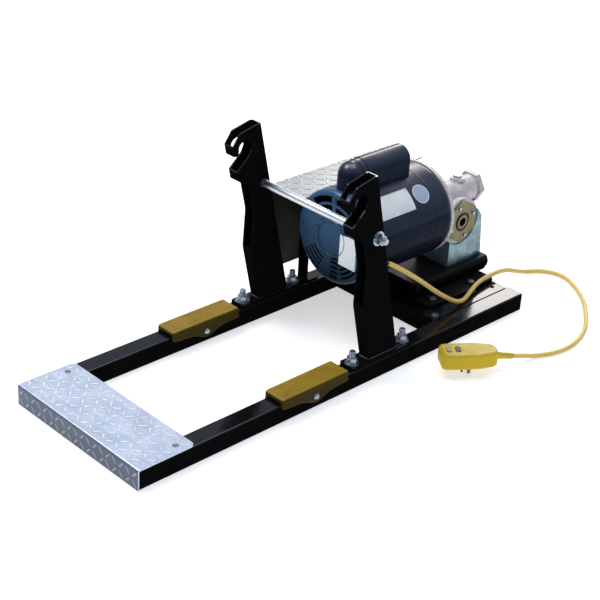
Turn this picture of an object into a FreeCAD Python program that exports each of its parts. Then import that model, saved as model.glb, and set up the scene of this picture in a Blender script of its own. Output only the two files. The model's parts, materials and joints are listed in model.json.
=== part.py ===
import FreeCAD, Part
import math
import os
import re
import Sketcher

# A motor and a right-angle worm gearbox on a ladder frame, with a tread-plate step and guard,
# two hooked posts, two rocker pads and a mains lead that ends in a ground-fault plug.
# Millimetres: x grows to the right rail, y to the gearbox end, z up from the floor.
# Every y in this file is measured back from the step's front lip. place() adds front_y, so that
# the row's origin is the bottom centre of the object without its lead.

SIZES = [
    ("front_y", -509.0, "y of the step's front lip in the row's frame"),
    ("slip", 0.05, "radial clearance of a running or drilled fit"),
    # ladder frame
    ("tube_side", 38.1, "rail tube, side"),
    ("tube_wall", 2.5, "rail tube, wall"),
    ("tube_round", 3.0, "rail tube, corner radius"),
    ("frame_width", 344.0, "over the rails"),
    ("frame_length", 1001.0, "front lip to the rails' rear ends"),
    ("rail_middle", 152.95, "x of a rail's centre line"),
    ("tread_sheet", 2.5, "thickness of the tread plate"),
    ("step_depth", 123.0, "front to back of the step"),
    ("step_round", 10.0, "rear corner radius of the step"),
    ("step_screw_x", 152.95, "x of the step's screws"),
    ("step_screw_y", 95.0, "y of the step's screws"),
    # motor platform
    ("cross_side", 31.75, "platform cross tube, side"),
    ("cross_wall", 2.4, "platform cross tube, wall"),
    ("deck_sheet", 6.35, "thickness of the motor platform"),
    ("deck_front", 770.0, "y of the platform's front edge"),
    ("deck_back", 995.0, "y of the platform's rear edge"),
    ("deck_gap", 0.8, "gap between the platform and a rail"),
    ("deck_bolt_x", 124.0, "x of the platform's front bolts"),
    ("deck_bolt_y", 784.0, "y of the platform's front bolts"),
    ("deck_hole_x", 113.6, "x of the platform's free rear holes"),
    ("deck_hole_y", 974.0, "y of the platform's free rear holes"),
    ("deck_hole_r", 4.75, "radius of the platform's free rear holes"),
    # posts
    ("post_middle", 152.0, "x of a post's centre line"),
    ("post_deep", 76.2, "post tube, front to back"),
    ("post_wide", 25.4, "post tube, side to side"),
    ("post_wall", 3.0, "post tube, wall"),
    ("post_lean", 13.8, "forward lean of the posts, degrees"),
    ("post_front", 550.5, "y of the post's front wall at its foot"),
    ("post_tall", 374.0, "length of the post along its lean"),
    ("foot_sheet", 6.0, "thickness of a post's foot plate"),
    ("foot_front", 505.0, "y of the foot plate's front edge"),
    ("foot_long", 162.0, "length of the foot plate"),
    ("foot_bolt_front", 518.0, "y of the front foot stud"),
    ("foot_bolt_back", 654.0, "y of the rear foot stud"),
    ("rod_y", 548.0, "y of the tie rod"),
    ("rod_z", 298.0, "height of the tie rod"),
    ("rod_r", 7.95, "radius of the tie rod"),
    # half inch hardware
    ("half_r", 6.35, "radius of a half inch thread"),
    ("half_nut", 19.0, "half inch nut, across flats"),
    ("half_nut_tall", 11.0, "half inch nut, height"),
    ("half_washer_r", 14.0, "half inch washer, radius"),
    ("half_washer_tall", 2.2, "half inch washer, thickness"),
    ("stud_top", 70.0, "height of a foot stud's end"),
    ("rod_end", 186.0, "x of the tie rod's ends"),
    # small hardware
    ("small_r", 4.0, "radius of an M8 thread"),
    ("small_nut", 13.0, "M8 head and nut, across flats"),
    ("small_nut_tall", 5.5, "M8 head and nut, height"),
    # rocker pads
    ("pad_wide", 48.0, "width of a rocker pad"),
    ("pad_front", 321.0, "y of the pad's front end"),
    ("pad_long", 167.0, "length of a rocker pad"),
    ("pad_top", 50.0, "height of the pad's ribs"),
    ("pad_under", 41.5, "height of the pad's underside"),
    ("pad_skirt", 3.0, "thickness of the pad's skirts"),
    ("pad_groove_wide", 3.6, "width of a groove between ribs"),
    ("pad_groove_deep", 2.2, "depth of a groove between ribs"),
    ("pad_groove_step", 8.6, "distance between two grooves"),
    ("pin_y", 406.0, "y of the pad's pin"),
    ("pin_z", 26.0, "height of the pad's pin"),
    ("pin_r", 4.75, "radius of the pad's pin"),
    ("pin_head_r", 6.5, "radius of the pin's heads"),
    ("pin_head_tall", 3.0, "height of the pin's heads"),
    # guard
    ("guard_out", 173.5, "distance of the guard's outer face from the middle"),
    ("guard_in", 83.0, "distance of the guard shelf's free edge from the middle"),
    ("guard_low", 80.0, "height of the guard's lower edge"),
    ("guard_high", 270.0, "height of the guard's shelf"),
    ("guard_front", 585.0, "y of the guard's front edge"),
    ("guard_long", 360.0, "length of the guard"),
    ("guard_bend", 4.0, "outer radius of the guard's bend"),
    # motor base
    ("base_half", 60.0, "half width of the motor base channel"),
    ("base_foot_half", 98.0, "half width of the motor base flange"),
    ("base_front", 797.0, "y of the motor base's front"),
    ("base_back", 1018.0, "y of the motor base's rear"),
    ("base_top", 76.5, "height of the motor base's top"),
    ("base_wall", 4.0, "wall of the motor base channel"),
    ("base_flange", 5.0, "thickness of the motor base flange"),
    ("base_bolt_x", 80.0, "x of the motor base bolts"),
    ("base_bolt_front", 826.0, "y of the front base bolts"),
    ("base_bolt_back", 944.0, "y of the rear base bolts"),
    # motor
    ("motor_z", 218.0, "height of the motor's axis"),
    ("motor_r", 94.5, "radius of the motor shell"),
    ("shell_wall", 3.0, "wall of the motor shell"),
    ("bell_front", 600.0, "y of the front bell's face"),
    ("shell_front", 628.0, "y where the shell starts"),
    ("shell_back", 798.5, "y where the shell ends"),
    ("bell_back", 840.0, "y of the rear bell's rim"),
    ("core_front", 672.0, "y of the stator core's front"),
    ("core_back", 748.0, "y of the stator core's rear"),
    ("shaft_r", 11.0, "radius of the motor shaft"),
    ("bearing_r", 23.5, "outer radius of a motor bearing"),
    ("cover_half", 26.5, "half width of the capacitor cover"),
    ("cover_top", 368.0, "height of the capacitor cover's top"),
    ("cover_front", 616.0, "y of the capacitor cover's front"),
    ("cover_back", 778.0, "y of the capacitor cover's rear"),
    ("cover_wall", 2.0, "wall of the capacitor cover"),
    # gearbox
    ("gear_y", 937.5, "y of the output axis"),
    ("gear_z", 172.0, "height of the output axis"),
    ("gear_half", 40.0, "half width of the gearbox housing"),
    ("gear_r", 50.0, "outer radius of the wheel housing"),
    ("gear_teeth", 30, "teeth of the worm wheel"),
    ("pitch_r", 34.0, "pitch radius of the worm wheel"),
    ("bore_r", 9.53, "radius of the output bore"),
    ("output_r", 15.0, "outer radius of the hollow output shaft"),
    ("output_half", 46.0, "half length of the output shaft"),
    ("worm_tube_r", 27.0, "outer radius of the worm tube"),
    ("worm_back", 1003.0, "y of the worm tube's rear end"),
    # lead
    ("lead_r", 4.75, "radius of the power cord"),
    ("plug_low", 18.0, "height of the plug's blade face"),
    ("plug_high", 50.0, "height of the plug's button face"),
    ("plug_long", 112.0, "length of the plug"),
    ("plug_half", 27.0, "half width of the plug"),
    ("button_travel", 1.5, "travel of the plug's buttons"),
]

vector = FreeCAD.Vector
doc = FreeCAD.newDocument("MotorDrive")
sheet = doc.addObject("Spreadsheet::Sheet", "Sizes")
for line, (alias, number, meaning) in enumerate(SIZES, start=1):
    sheet.set(f"A{line}", meaning)
    sheet.set(f"B{line}", str(number))
    sheet.setAlias(f"B{line}", alias)
doc.recompute()
ALIASES = {alias for alias, number, meaning in SIZES}
SIDES = (("left", -1), ("right", 1))
BOTH = (-1, 1)
QUARTERS = (0, 90, 180, 270)
ALONG_X = FreeCAD.Rotation(vector(0, 1, 0), 90)
ALONG_Y = FreeCAD.Rotation(vector(1, 0, 0), -90)
ALONG_Z = FreeCAD.Rotation()
nodes = []


def size(alias):
    """Value of a cell of the sheet."""
    return float(getattr(sheet, alias))


def rule(text):
    """An expression of the document: every alias in the text becomes a cell of the sheet."""
    def cell(word):
        return "Sizes." + word.group() if word.group() in ALIASES else word.group()
    return re.sub(r"[a-z_]+", cell, str(text))


def bind(thing, field, text):
    thing.setExpression(field, rule(text))


def place(thing, x, y, z, turn=ALONG_Z):
    """Puts a thing at x, y, z, with y measured back from the step's front lip."""
    thing.Placement = FreeCAD.Placement(vector(), turn)
    bind(thing, "Placement.Base.x", x)
    bind(thing, "Placement.Base.y", f"front_y + {y}")
    bind(thing, "Placement.Base.z", z)
    return thing


def block(x, y, z, wide, deep, tall):
    """A box with its low corner at x, y, z."""
    box = doc.addObject("Part::Box", "Block")
    bind(box, "Length", wide)
    bind(box, "Width", deep)
    bind(box, "Height", tall)
    return place(box, x, y, z)


def rod(radius, length, x, y, z, turn=ALONG_Z):
    cylinder = doc.addObject("Part::Cylinder", "Rod")
    bind(cylinder, "Radius", radius)
    bind(cylinder, "Height", length)
    return place(cylinder, x, y, z, turn)


def cone(first, last, length, x, y, z, turn=ALONG_Z):
    taper = doc.addObject("Part::Cone", "Cone")
    bind(taper, "Radius1", first)
    bind(taper, "Radius2", last)
    bind(taper, "Height", length)
    return place(taper, x, y, z, turn)


def hexagon(across, length, x, y, z, turn=ALONG_Z):
    """A hexagonal prism, by its width across flats."""
    prism = doc.addObject("Part::Prism", "Hexagon")
    prism.Polygon = 6
    bind(prism, "Circumradius", f"({across}) / sqrt(3)")
    bind(prism, "Height", length)
    return place(prism, x, y, z, turn)


def fuse(things, refine=True):
    if len(things) == 1:
        return things[0]
    joined = doc.addObject("Part::MultiFuse", "Fused")
    joined.Shapes = things
    joined.Refine = refine
    return joined


def cut(base, tools):
    trimmed = doc.addObject("Part::Cut", "Trimmed")
    trimmed.Base = base
    trimmed.Tool = fuse(tools, False)
    return trimmed


def common(first, second):
    shared = doc.addObject("Part::Common", "Shared")
    shared.Base = first
    shared.Tool = second
    return shared


def ring(outer, inner, length, x, y, z, turn=ALONG_Z):
    """A tube or washer; its bore is cut right through."""
    return cut(rod(outer, length, x, y, z, turn), [rod(inner, length, x, y, z, turn)])


def group(things):
    """Separate solids that share one node."""
    together = doc.addObject("Part::Compound", "Group")
    together.Links = things
    return together


def node(name, thing):
    thing.Label = name
    nodes.append(thing)
    return thing


def shape_node(name, shape):
    """A node whose shape is made with Part's own functions."""
    feature = doc.addObject("Part::Feature", "Made")
    feature.Shape = shape
    place(feature, "0", "0", "0")
    return node(name, feature)


def outline(corners):
    """Closed outline through corners (across, up, radius); each corner is turned by an arc."""
    count = len(corners)
    marks = []
    for turn in range(count):
        here = vector(corners[turn][0], corners[turn][1], 0)
        before = vector(corners[turn - 1][0], corners[turn - 1][1], 0)
        after = vector(corners[(turn + 1) % count][0], corners[(turn + 1) % count][1], 0)
        radius = corners[turn][2]
        arriving = (here - before).normalize()
        leaving = (after - here).normalize()
        half_turn = arriving.getAngle(leaving) / 2
        start = here - arriving * radius * math.tan(half_turn)
        end = here + leaving * radius * math.tan(half_turn)
        inward = (leaving - arriving).normalize()
        middle = here + inward * radius * (1 / math.cos(half_turn) - 1)
        marks.append((start, middle, end, radius))
    edges = []
    for turn in range(count):
        start, middle, end, radius = marks[turn]
        if radius > 0:
            edges.append(Part.Arc(start, middle, end))
        edges.append(Part.LineSegment(end, marks[(turn + 1) % count][0]))
    return edges


def new_sketch(body, plane):
    """A sketch on one of the body's own origin planes."""
    sketch = body.newObject("Sketcher::SketchObject", "Sketch")
    origin_plane = [face for face in body.Origin.OriginFeatures if face.Role == plane][0]
    sketch.AttachmentSupport = [(origin_plane, "")]
    sketch.MapMode = "FlatFace"
    return sketch


def rectangle(sketch, wide, tall):
    """A rectangle centred on the sketch's origin, with its two sizes bound to the sheet."""
    first = sketch.GeometryCount
    spots = [vector(-1, -1, 0), vector(1, -1, 0), vector(1, 1, 0), vector(-1, 1, 0)]
    for side in range(4):
        sketch.addGeometry(Part.LineSegment(spots[side], spots[(side + 1) % 4]), False)
    for side in range(4):
        following = first + (side + 1) % 4
        sketch.addConstraint(Sketcher.Constraint("Coincident", first + side, 2, following, 1))
        direction = "Horizontal" if side % 2 == 0 else "Vertical"
        sketch.addConstraint(Sketcher.Constraint(direction, first + side))
    sketch.addConstraint(Sketcher.Constraint("Symmetric", first, 1, first + 1, 2, -1, 1))
    across = sketch.addConstraint(Sketcher.Constraint("DistanceX", first, 1, first, 2, 2.0))
    bind(sketch, f"Constraints[{across}]", wide)
    upright = sketch.addConstraint(Sketcher.Constraint("DistanceY", first + 1, 1, first + 1, 2, 2.0))
    bind(sketch, f"Constraints[{upright}]", tall)


def pad(body, sketch, length):
    feature = body.newObject("PartDesign::Pad", "Pad")
    feature.Profile = sketch
    bind(feature, "Length", length)
    return feature


def upright_edges(shape, wanted):
    """Names of the straight edges along z whose start point is wanted."""
    names = []
    for count, edge in enumerate(shape.Edges, start=1):
        start, end = edge.Vertexes[0].Point, edge.Vertexes[-1].Point
        along_z = math.hypot(start.x - end.x, start.y - end.y) < 1e-6
        if along_z and wanted(start):
            names.append(f"Edge{count}")
    return names


def fillet(body, feature, names, radius):
    rounding = body.newObject("PartDesign::Fillet", "Fillet")
    rounding.Base = (feature, names)
    bind(rounding, "Radius", radius)
    return rounding


def box_tube(wide, deep, wall, corner, length, x, y, z, turn=ALONG_Z):
    """A rectangular tube with rounded outer corners, centred on its axis."""
    body = doc.addObject("PartDesign::Body", "Tube")
    sketch = new_sketch(body, "XY_Plane")
    rectangle(sketch, wide, deep)
    rectangle(sketch, f"{wide} - 2 * {wall}", f"{deep} - 2 * {wall}")
    tube = pad(body, sketch, length)
    doc.recompute()
    inner_reach = math.hypot(size(wide) / 2, size(deep) / 2) - size(wall)
    outer = upright_edges(tube.Shape, lambda spot: math.hypot(spot.x, spot.y) > inner_reach)
    fillet(body, tube, outer, corner)
    return place(body, x, y, z, turn)


def plate(wide, deep, thick, corner, x, y, z):
    """A flat plate centred on x, y, with its underside at z and rounded corners."""
    body = doc.addObject("PartDesign::Body", "Plate")
    sketch = new_sketch(body, "XY_Plane")
    rectangle(sketch, wide, deep)
    slab = pad(body, sketch, thick)
    doc.recompute()
    fillet(body, slab, upright_edges(slab.Shape, lambda spot: True), corner)
    return place(body, x, y, z)


def profile(plane, corners, length, x, y, z, turn=ALONG_Z):
    """A body padded from an outline on one of its own planes."""
    body = doc.addObject("PartDesign::Body", "Profile")
    sketch = new_sketch(body, plane)
    sketch.addGeometry(outline(corners), False)
    pad(body, sketch, length)
    return place(body, x, y, z, turn)


def turned(corners, x, y, z, turn=ALONG_Z):
    """A body turned about its own y axis from an outline of (radius, along) corners."""
    body = doc.addObject("PartDesign::Body", "Turned")
    sketch = new_sketch(body, "XY_Plane")
    sketch.addGeometry(outline(corners), False)
    revolution = body.newObject("PartDesign::Revolution", "Revolution")
    revolution.Profile = sketch
    revolution.ReferenceAxis = (sketch, ["V_Axis"])
    revolution.Angle = 360
    return place(body, x, y, z, turn)


def hex_solid(across, tall, x, y, z, axis):
    """A hexagon with its corners chamfered at both ends, standing along an axis letter."""
    middle = {"x": x, "y": y, "z": z}
    middle[axis] = f"{middle[axis]} + {tall} / 2"
    ball = doc.addObject("Part::Sphere", "Ball")
    bind(ball, "Radius", f"sqrt(({across})^2 + ({tall})^2) / 2")
    place(ball, middle["x"], middle["y"], middle["z"])
    turn = {"x": ALONG_X, "y": ALONG_Y, "z": ALONG_Z}[axis]
    return common(hexagon(across, tall, x, y, z, turn), ball)


# ladder frame ---------------------------------------------------------------------------

def rail(name, side):
    """A square tube along the frame; its rear end is closed, its front end is behind the lip."""
    middle = f"{side} * rail_middle"
    tube = box_tube("tube_side", "tube_side", "tube_wall", "tube_round",
                    "frame_length - tread_sheet", middle, "tread_sheet", "tube_side / 2", ALONG_Y)
    holes = [rod("pin_r + slip", "tube_side + 2", f"{middle} - tube_side / 2 - 1",
                 "pin_y", "pin_z", ALONG_X)]
    for stud_y in ("foot_bolt_front", "foot_bolt_back"):
        holes.append(rod("half_r + slip", "tube_wall + 2", middle, stud_y,
                         "tube_side - tube_wall - 1"))
    holes.append(rod("3 + slip", "tube_wall + 2", f"{side} * step_screw_x", "step_screw_y",
                     "tube_side - tube_wall - 1"))
    end = block(f"{middle} - tube_side / 2 + 1", "frame_length - tube_wall", "1",
                "tube_side - 2", "tube_wall", "tube_side - 2")
    node(name, cut(fuse([tube, end]), holes))


def front_cross_tube():
    node("front_cross_tube",
         box_tube("tube_side", "tube_side", "tube_wall", "tube_round",
                  "frame_width - 2 * tube_side", "tube_side - frame_width / 2",
                  "tread_sheet + tube_side / 2", "tube_side / 2", ALONG_X))


def step_plate():
    """Bent tread plate: a top over the rails and a lip down their front ends."""
    sheet_thick, top, deep = size("tread_sheet"), size("tube_side"), size("step_depth")
    bend = 4.0
    corners = [(0, 0, 0), (sheet_thick, 0, 0), (sheet_thick, top, 0), (deep, top, 0),
               (deep, top + sheet_thick, 0), (0, top + sheet_thick, bend)]
    body = profile("YZ_Plane", corners, "frame_width", "-frame_width / 2", "0", "0")
    doc.recompute()
    rear = upright_edges(body.Tip.Shape, lambda spot: spot.y > deep - 1)
    fillet(body, body.Tip, rear, "step_round")
    holes = []
    for side in BOTH:
        x = f"{side} * step_screw_x"
        holes.append(cone("3 + slip", "6 + slip", "tread_sheet", x, "step_screw_y", "tube_side"))
    node("step_plate", cut(body, holes))


def step_screws():
    screws = []
    for side in BOTH:
        x = f"{side} * step_screw_x"
        head = cone("3", "6", "tread_sheet", x, "step_screw_y", "tube_side")
        screws.append(fuse([head, rod("3", "14", x, "step_screw_y", "tube_side - 14")]))
    node("step_screws", group(screws))


# motor platform -------------------------------------------------------------------------

def platform_tube(name, y, hole_x, hole_y, hole_r):
    tube = box_tube("cross_side", "cross_side", "cross_wall", "cross_wall",
                    "frame_width - 2 * tube_side", "tube_side - frame_width / 2",
                    y, "cross_side / 2", ALONG_X)
    holes = [rod(hole_r, "cross_wall + 2", f"{side} * {hole_x}", hole_y,
                 "cross_side - cross_wall - 1") for side in BOTH]
    node(name, cut(tube, holes))


def motor_platform():
    slab = plate("frame_width - 2 * tube_side - 2 * deck_gap", "deck_back - deck_front",
                 "deck_sheet", "2", "0", "(deck_front + deck_back) / 2", "cross_side")
    holes = []
    for side in BOTH:
        holes.append(rod("small_r + slip", "deck_sheet + 2", f"{side} * deck_bolt_x",
                         "deck_bolt_y", "cross_side - 1"))
        holes.append(rod("deck_hole_r", "deck_sheet + 2", f"{side} * deck_hole_x",
                         "deck_hole_y", "cross_side - 1"))
        for y in ("base_bolt_front", "base_bolt_back"):
            holes.append(rod("small_r + slip", "deck_sheet + 2", f"{side} * base_bolt_x", y,
                             "cross_side - 1"))
    node("motor_platform", cut(slab, holes))


def small_bolt(x, y, seat, reach):
    """A hexagon-head bolt pointing down from its seat."""
    head = hex_solid("small_nut", "small_nut_tall", x, y, seat, "z")
    return fuse([head, rod("small_r", reach, x, y, f"{seat} - {reach}")])


def hex_bolts():
    """Two bolts hold the platform's front corners and four hold the motor base."""
    bolts = []
    for side in BOTH:
        bolts.append(small_bolt(f"{side} * deck_bolt_x", "deck_bolt_y", "tube_side", "13"))
        for y in ("base_bolt_front", "base_bolt_back"):
            bolts.append(small_bolt(f"{side} * base_bolt_x", y, "tube_side + base_flange", "22"))
    node("hex_bolts", group(bolts))


def base_nuts():
    nuts = []
    for side in BOTH:
        for y in ("base_bolt_front", "base_bolt_back"):
            x = f"{side} * base_bolt_x"
            low = "cross_side - small_nut_tall"
            nut = hex_solid("small_nut", "small_nut_tall", x, y, low, "z")
            nuts.append(cut(nut, [rod("small_r + slip", "small_nut_tall", x, y, low)]))
    node("base_nuts", group(nuts))


# hooked posts ---------------------------------------------------------------------------

def post(name, side):
    """A rectangular tube, cut to a hook mouth with a pocket for a roller's end above it."""
    deep, tall = size("post_deep"), size("post_tall")
    lean = size("post_lean")
    foot_drop = deep * math.tan(math.radians(lean))
    beyond = 2.0
    corners = [
        (-beyond, beyond * math.tan(math.radians(lean)), 0),
        (deep + beyond, -foot_drop - beyond * math.tan(math.radians(lean)), 0),
        (deep + beyond, tall - 4, 0),
        (deep - 7, tall - 1, 0),
        (23, tall, 6),
        (-beyond, tall - 22, 0),
        (-beyond, 336, 0),
        (10, 332, 3),
        (17, 354, 12),
        (41, 356, 12),
        (46, 332, 8),
        (36, 319.5, 4),
        (-beyond, 298.5, 0),
        (-beyond, 283, 0),
        (23, 258, 12),
        (23.5, 196, 60),
        (-beyond, 108, 0),
    ]
    spot_x = f"{side} * post_middle"
    turn = FreeCAD.Rotation(vector(1, 0, 0), lean)
    foot = "tube_side + foot_sheet"
    outer = profile("YZ_Plane", corners, "post_wide + 2", f"{spot_x} - post_wide / 2 - 1",
                    "post_front", foot, turn)
    middle = FreeCAD.Placement(vector(), turn).multVec(vector(0, deep / 2, -foot_drop - beyond))
    tube = box_tube("post_wide", "post_deep", "post_wall", "post_wall", "post_tall + 30",
                    spot_x, f"post_front + {middle.y}", f"{foot} + {middle.z}", turn)
    hole = rod("half_r + slip", "post_wide + 2", f"{spot_x} - post_wide / 2 - 1",
               "rod_y", "rod_z", ALONG_X)
    node(name, cut(common(tube, outer), [hole]))


def post_foot(name, side):
    middle = f"{side} * rail_middle"
    slab = plate("tube_side", "foot_long", "foot_sheet", "3", middle,
                 "foot_front + foot_long / 2", "tube_side")
    holes = [rod("half_r + slip", "foot_sheet + 2", middle, y, "tube_side - 1")
             for y in ("foot_bolt_front", "foot_bolt_back")]
    node(name, cut(slab, holes))


def foot_studs():
    """Studs put up through the rails, their heads under the rail's top wall."""
    studs = []
    for side in BOTH:
        x = f"{side} * rail_middle"
        for y in ("foot_bolt_front", "foot_bolt_back"):
            under = "tube_side - tube_wall"
            head = hex_solid("half_nut", "6", x, y, f"{under} - 6", "z")
            shank = rod("half_r", f"stud_top - 1 - ({under})", x, y, under)
            tip = cone("half_r", "half_r - 1", "1", x, y, "stud_top - 1")
            studs.append(fuse([head, shank, tip]))
    node("foot_studs", group(studs))


def half_inch_washers_and_nuts():
    washers = []
    nuts = []
    seat = "tube_side + foot_sheet"
    for side in BOTH:
        x = f"{side} * rail_middle"
        for y in ("foot_bolt_front", "foot_bolt_back"):
            washers.append(ring("half_washer_r", "half_r + slip", "half_washer_tall", x, y, seat))
            low = f"{seat} + half_washer_tall"
            nut = hex_solid("half_nut", "half_nut_tall", x, y, low, "z")
            nuts.append(cut(nut, [rod("half_r + slip", "half_nut_tall", x, y, low)]))
        face = "post_middle + post_wide / 2"
        washer_x = face if side > 0 else f"-({face}) - half_washer_tall"
        nut_x = f"{face} + half_washer_tall"
        nut_x = nut_x if side > 0 else f"-({nut_x}) - half_nut_tall"
        washers.append(ring("half_washer_r", "half_r + slip", "half_washer_tall", washer_x,
                            "rod_y", "rod_z", ALONG_X))
        nut = hex_solid("half_nut", "half_nut_tall", nut_x, "rod_y", "rod_z", "x")
        bore = rod("half_r + slip", "half_nut_tall", nut_x, "rod_y", "rod_z", ALONG_X)
        nuts.append(cut(nut, [bore]))
    node("half_inch_washers", group(washers))
    node("half_inch_nuts", group(nuts))


def tie_rod():
    inner = "post_middle - post_wide / 2"
    thick = rod("rod_r", f"2 * ({inner})", f"-({inner})", "rod_y", "rod_z", ALONG_X)
    thin = rod("half_r", "2 * rod_end - 2", "1 - rod_end", "rod_y", "rod_z", ALONG_X)
    tips = [cone("half_r", "half_r - 1", "1", "rod_end - 1", "rod_y", "rod_z", ALONG_X),
            cone("half_r - 1", "half_r", "1", "-rod_end", "rod_y", "rod_z", ALONG_X)]
    node("tie_rod", fuse([thick, thin] + tips))


# rocker pads ----------------------------------------------------------------------------

def rocker_pad(name, side):
    """A ribbed cap over the rail, with two skirts that reach down to a pin through the rail."""
    top, long_side = size("pad_top"), size("pad_long")
    half = long_side / 2
    corners = [(0, top, 2.5), (0, 30, 2), (40, 27, 25), (half - 17, 14.5, 9),
               (half + 17, 14.5, 9), (long_side - 40, 27, 25), (long_side, 30, 2),
               (long_side, top, 2.5)]
    middle = f"{side} * post_middle"
    low = f"{middle} - pad_wide / 2"
    cap = profile("YZ_Plane", corners, "pad_wide", low, "pad_front", "0")
    tools = [block(f"{low} + pad_skirt", "pad_front - 1", "0", "pad_wide - 2 * pad_skirt",
                   "pad_long + 2", "pad_under")]
    for place_across in (-1.5, -0.5, 0.5, 1.5):
        tools.append(block(f"{middle} + {place_across} * pad_groove_step - pad_groove_wide / 2",
                           "pad_front - 1", "pad_top - pad_groove_deep", "pad_groove_wide",
                           "pad_long + 2", "pad_groove_deep + 1"))
    tools.append(rod("pin_r + slip", "pad_wide + 2", f"{low} - 1", "pin_y", "pin_z", ALONG_X))
    node(name, cut(cap, tools))


def pad_pins():
    """One pin through each rail, with a domed head outside each skirt."""
    play = 0.3
    pins = []
    for side in BOTH:
        low = f"{side} * post_middle - pad_wide / 2 - {play}"
        long_side = f"pad_wide + 2 * {play}"
        shank = rod("pin_r", long_side, low, "pin_y", "pin_z", ALONG_X)
        outer = cone("pin_head_r", "pin_head_r - 3", "pin_head_tall", f"{low} + {long_side}",
                     "pin_y", "pin_z", ALONG_X)
        inner = cone("pin_head_r - 3", "pin_head_r", "pin_head_tall", f"{low} - pin_head_tall",
                     "pin_y", "pin_z", ALONG_X)
        pins.append(fuse([shank, outer, inner]))
    node("pad_pins", group(pins))


# guard ----------------------------------------------------------------------------------

BRACKET_SPOTS = (700, 880)
BRACKET_WIDE = 25
BRACKET_SHEET = 5
GUARD_SCREW_HEIGHTS = (110, 190)


def guard_plate():
    """Tread plate bent to a wall outside the left rail and a shelf towards the motor."""
    sheet_thick, high, low = size("tread_sheet"), size("guard_high"), size("guard_low")
    across = size("guard_out") - size("guard_in")
    bend = size("guard_bend")
    corners = [(0, low, 0), (sheet_thick, low, 0), (sheet_thick, high - sheet_thick, bend / 2),
               (across, high - sheet_thick, 0), (across, high, 0), (0, high, bend)]
    wall = profile("XZ_Plane", corners, "guard_long", "-guard_out", "guard_front + guard_long", "0")
    holes = [rod("3 + slip", "tread_sheet + 2", "-guard_out - 1", f"{y}", f"{z}", ALONG_X)
             for y in BRACKET_SPOTS for z in GUARD_SCREW_HEIGHTS]
    node("guard_plate", cut(wall, holes))


def guard_brackets():
    brackets = []
    for y in BRACKET_SPOTS:
        low = f"{y - BRACKET_WIDE / 2}"
        back = "tread_sheet - guard_out"
        upright = block(back, low, "tube_side", BRACKET_SHEET, BRACKET_WIDE, "180")
        foot = block(back, low, "tube_side", "34", BRACKET_WIDE, BRACKET_SHEET)
        holes = [rod("3 + slip", BRACKET_SHEET + 2, f"{back} - 1", f"{y}", f"{z}", ALONG_X)
                 for z in GUARD_SCREW_HEIGHTS]
        brackets.append(cut(fuse([upright, foot]), holes))
    node("guard_brackets", group(brackets))


def guard_screws():
    screws = []
    for y in BRACKET_SPOTS:
        for z in GUARD_SCREW_HEIGHTS:
            head = cone("3", "5.5", "2", "-guard_out - 2", f"{y}", f"{z}", ALONG_X)
            shank = rod("3", "14", "-guard_out", f"{y}", f"{z}", ALONG_X)
            screws.append(fuse([head, shank]))
    node("guard_screws", group(screws))


# motor base -----------------------------------------------------------------------------

BASE_FOOT_LONG = 205
BASE_FOOT_CORNER = 14
BASE_HOLE_R = 14
BASE_HOLE_REACH = 27
BASE_HOLE_RISE = 15
SIDE_SLOT_REACH = 58
SIDE_SLOT_SIZE = (20, 40, 15)


def motor_base():
    """A bent channel on a foot flange, closed at the front but for two round holes."""
    flange_top = size("tube_side") + size("base_flange")
    top, half, wall = size("base_top"), size("base_half"), size("base_wall")
    waist = half - 6
    bulge_z = flange_top + 19
    outer = [(-waist, flange_top, 0), (waist, flange_top, 0), (half + 3, bulge_z, 16),
             (half - 2, top, 7), (2 - half, top, 7), (-half - 3, bulge_z, 16)]
    inner = [(wall - waist, flange_top - 1, 0), (waist - wall, flange_top - 1, 0),
             (half + 3 - wall, bulge_z, 12), (half - 2 - wall, top - wall, 4),
             (2 + wall - half, top - wall, 4), (wall - half - 3, bulge_z, 12)]
    channel = profile("XZ_Plane", outer, "base_back - base_front", "0", "base_back", "0")
    hollow = profile("XZ_Plane", inner, "base_back - base_front", "0", "base_back + base_wall", "0")
    flange = plate("2 * base_foot_half", f"{BASE_FOOT_LONG}", "base_flange", f"{BASE_FOOT_CORNER}",
                   "0", f"base_front + {BASE_FOOT_LONG / 2}", "tube_side")
    slot_wide, slot_long, slot_tall = SIDE_SLOT_SIZE
    tools = [hollow]
    for side in BOTH:
        tools.append(rod(f"{BASE_HOLE_R}", "base_wall + 2", f"{side * BASE_HOLE_REACH}",
                         "base_front - 1", f"tube_side + base_flange + {BASE_HOLE_RISE}", ALONG_Y))
        tools.append(block(f"{side * SIDE_SLOT_REACH - slot_wide / 2}", "base_front + 9",
                           "tube_side + base_flange + 7", f"{slot_wide}", f"{slot_long}",
                           f"{slot_tall}"))
    shell = cut(channel, tools)
    holes = [rod("small_r + slip", "base_flange + 2", f"{side} * base_bolt_x", y, "tube_side - 1")
             for side in BOTH for y in ("base_bolt_front", "base_bolt_back")]
    node("motor_base", cut(fuse([shell, flange]), holes))


# motor ----------------------------------------------------------------------------------

THROUGH_BOLT_REACH = 80
BELL_STEP = 2.0
HUB_R = 43


def motor_ring(outer, inner, length, y):
    return ring(outer, inner, length, "0", y, "motor_z", ALONG_Y)


def around_motor(angle, reach):
    """Spot (x, z) at an angle and reach around the motor's axis, as expressions."""
    x = reach * math.cos(math.radians(angle))
    z = reach * math.sin(math.radians(angle))
    return f"{x:.4f}", f"motor_z + {z:.4f}"


def arc_slot(inner, outer, start, sweep, y, length):
    """A curved slot about the motor's axis; angles run from +x towards +z."""
    turn = ALONG_Y.multiply(FreeCAD.Rotation(vector(0, 0, 1), -start - sweep))
    wedge = rod(outer, length, "0", y, "motor_z", turn)
    wedge.Angle = sweep
    return cut(wedge, [rod(inner, length, "0", y, "motor_z", turn)])


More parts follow.
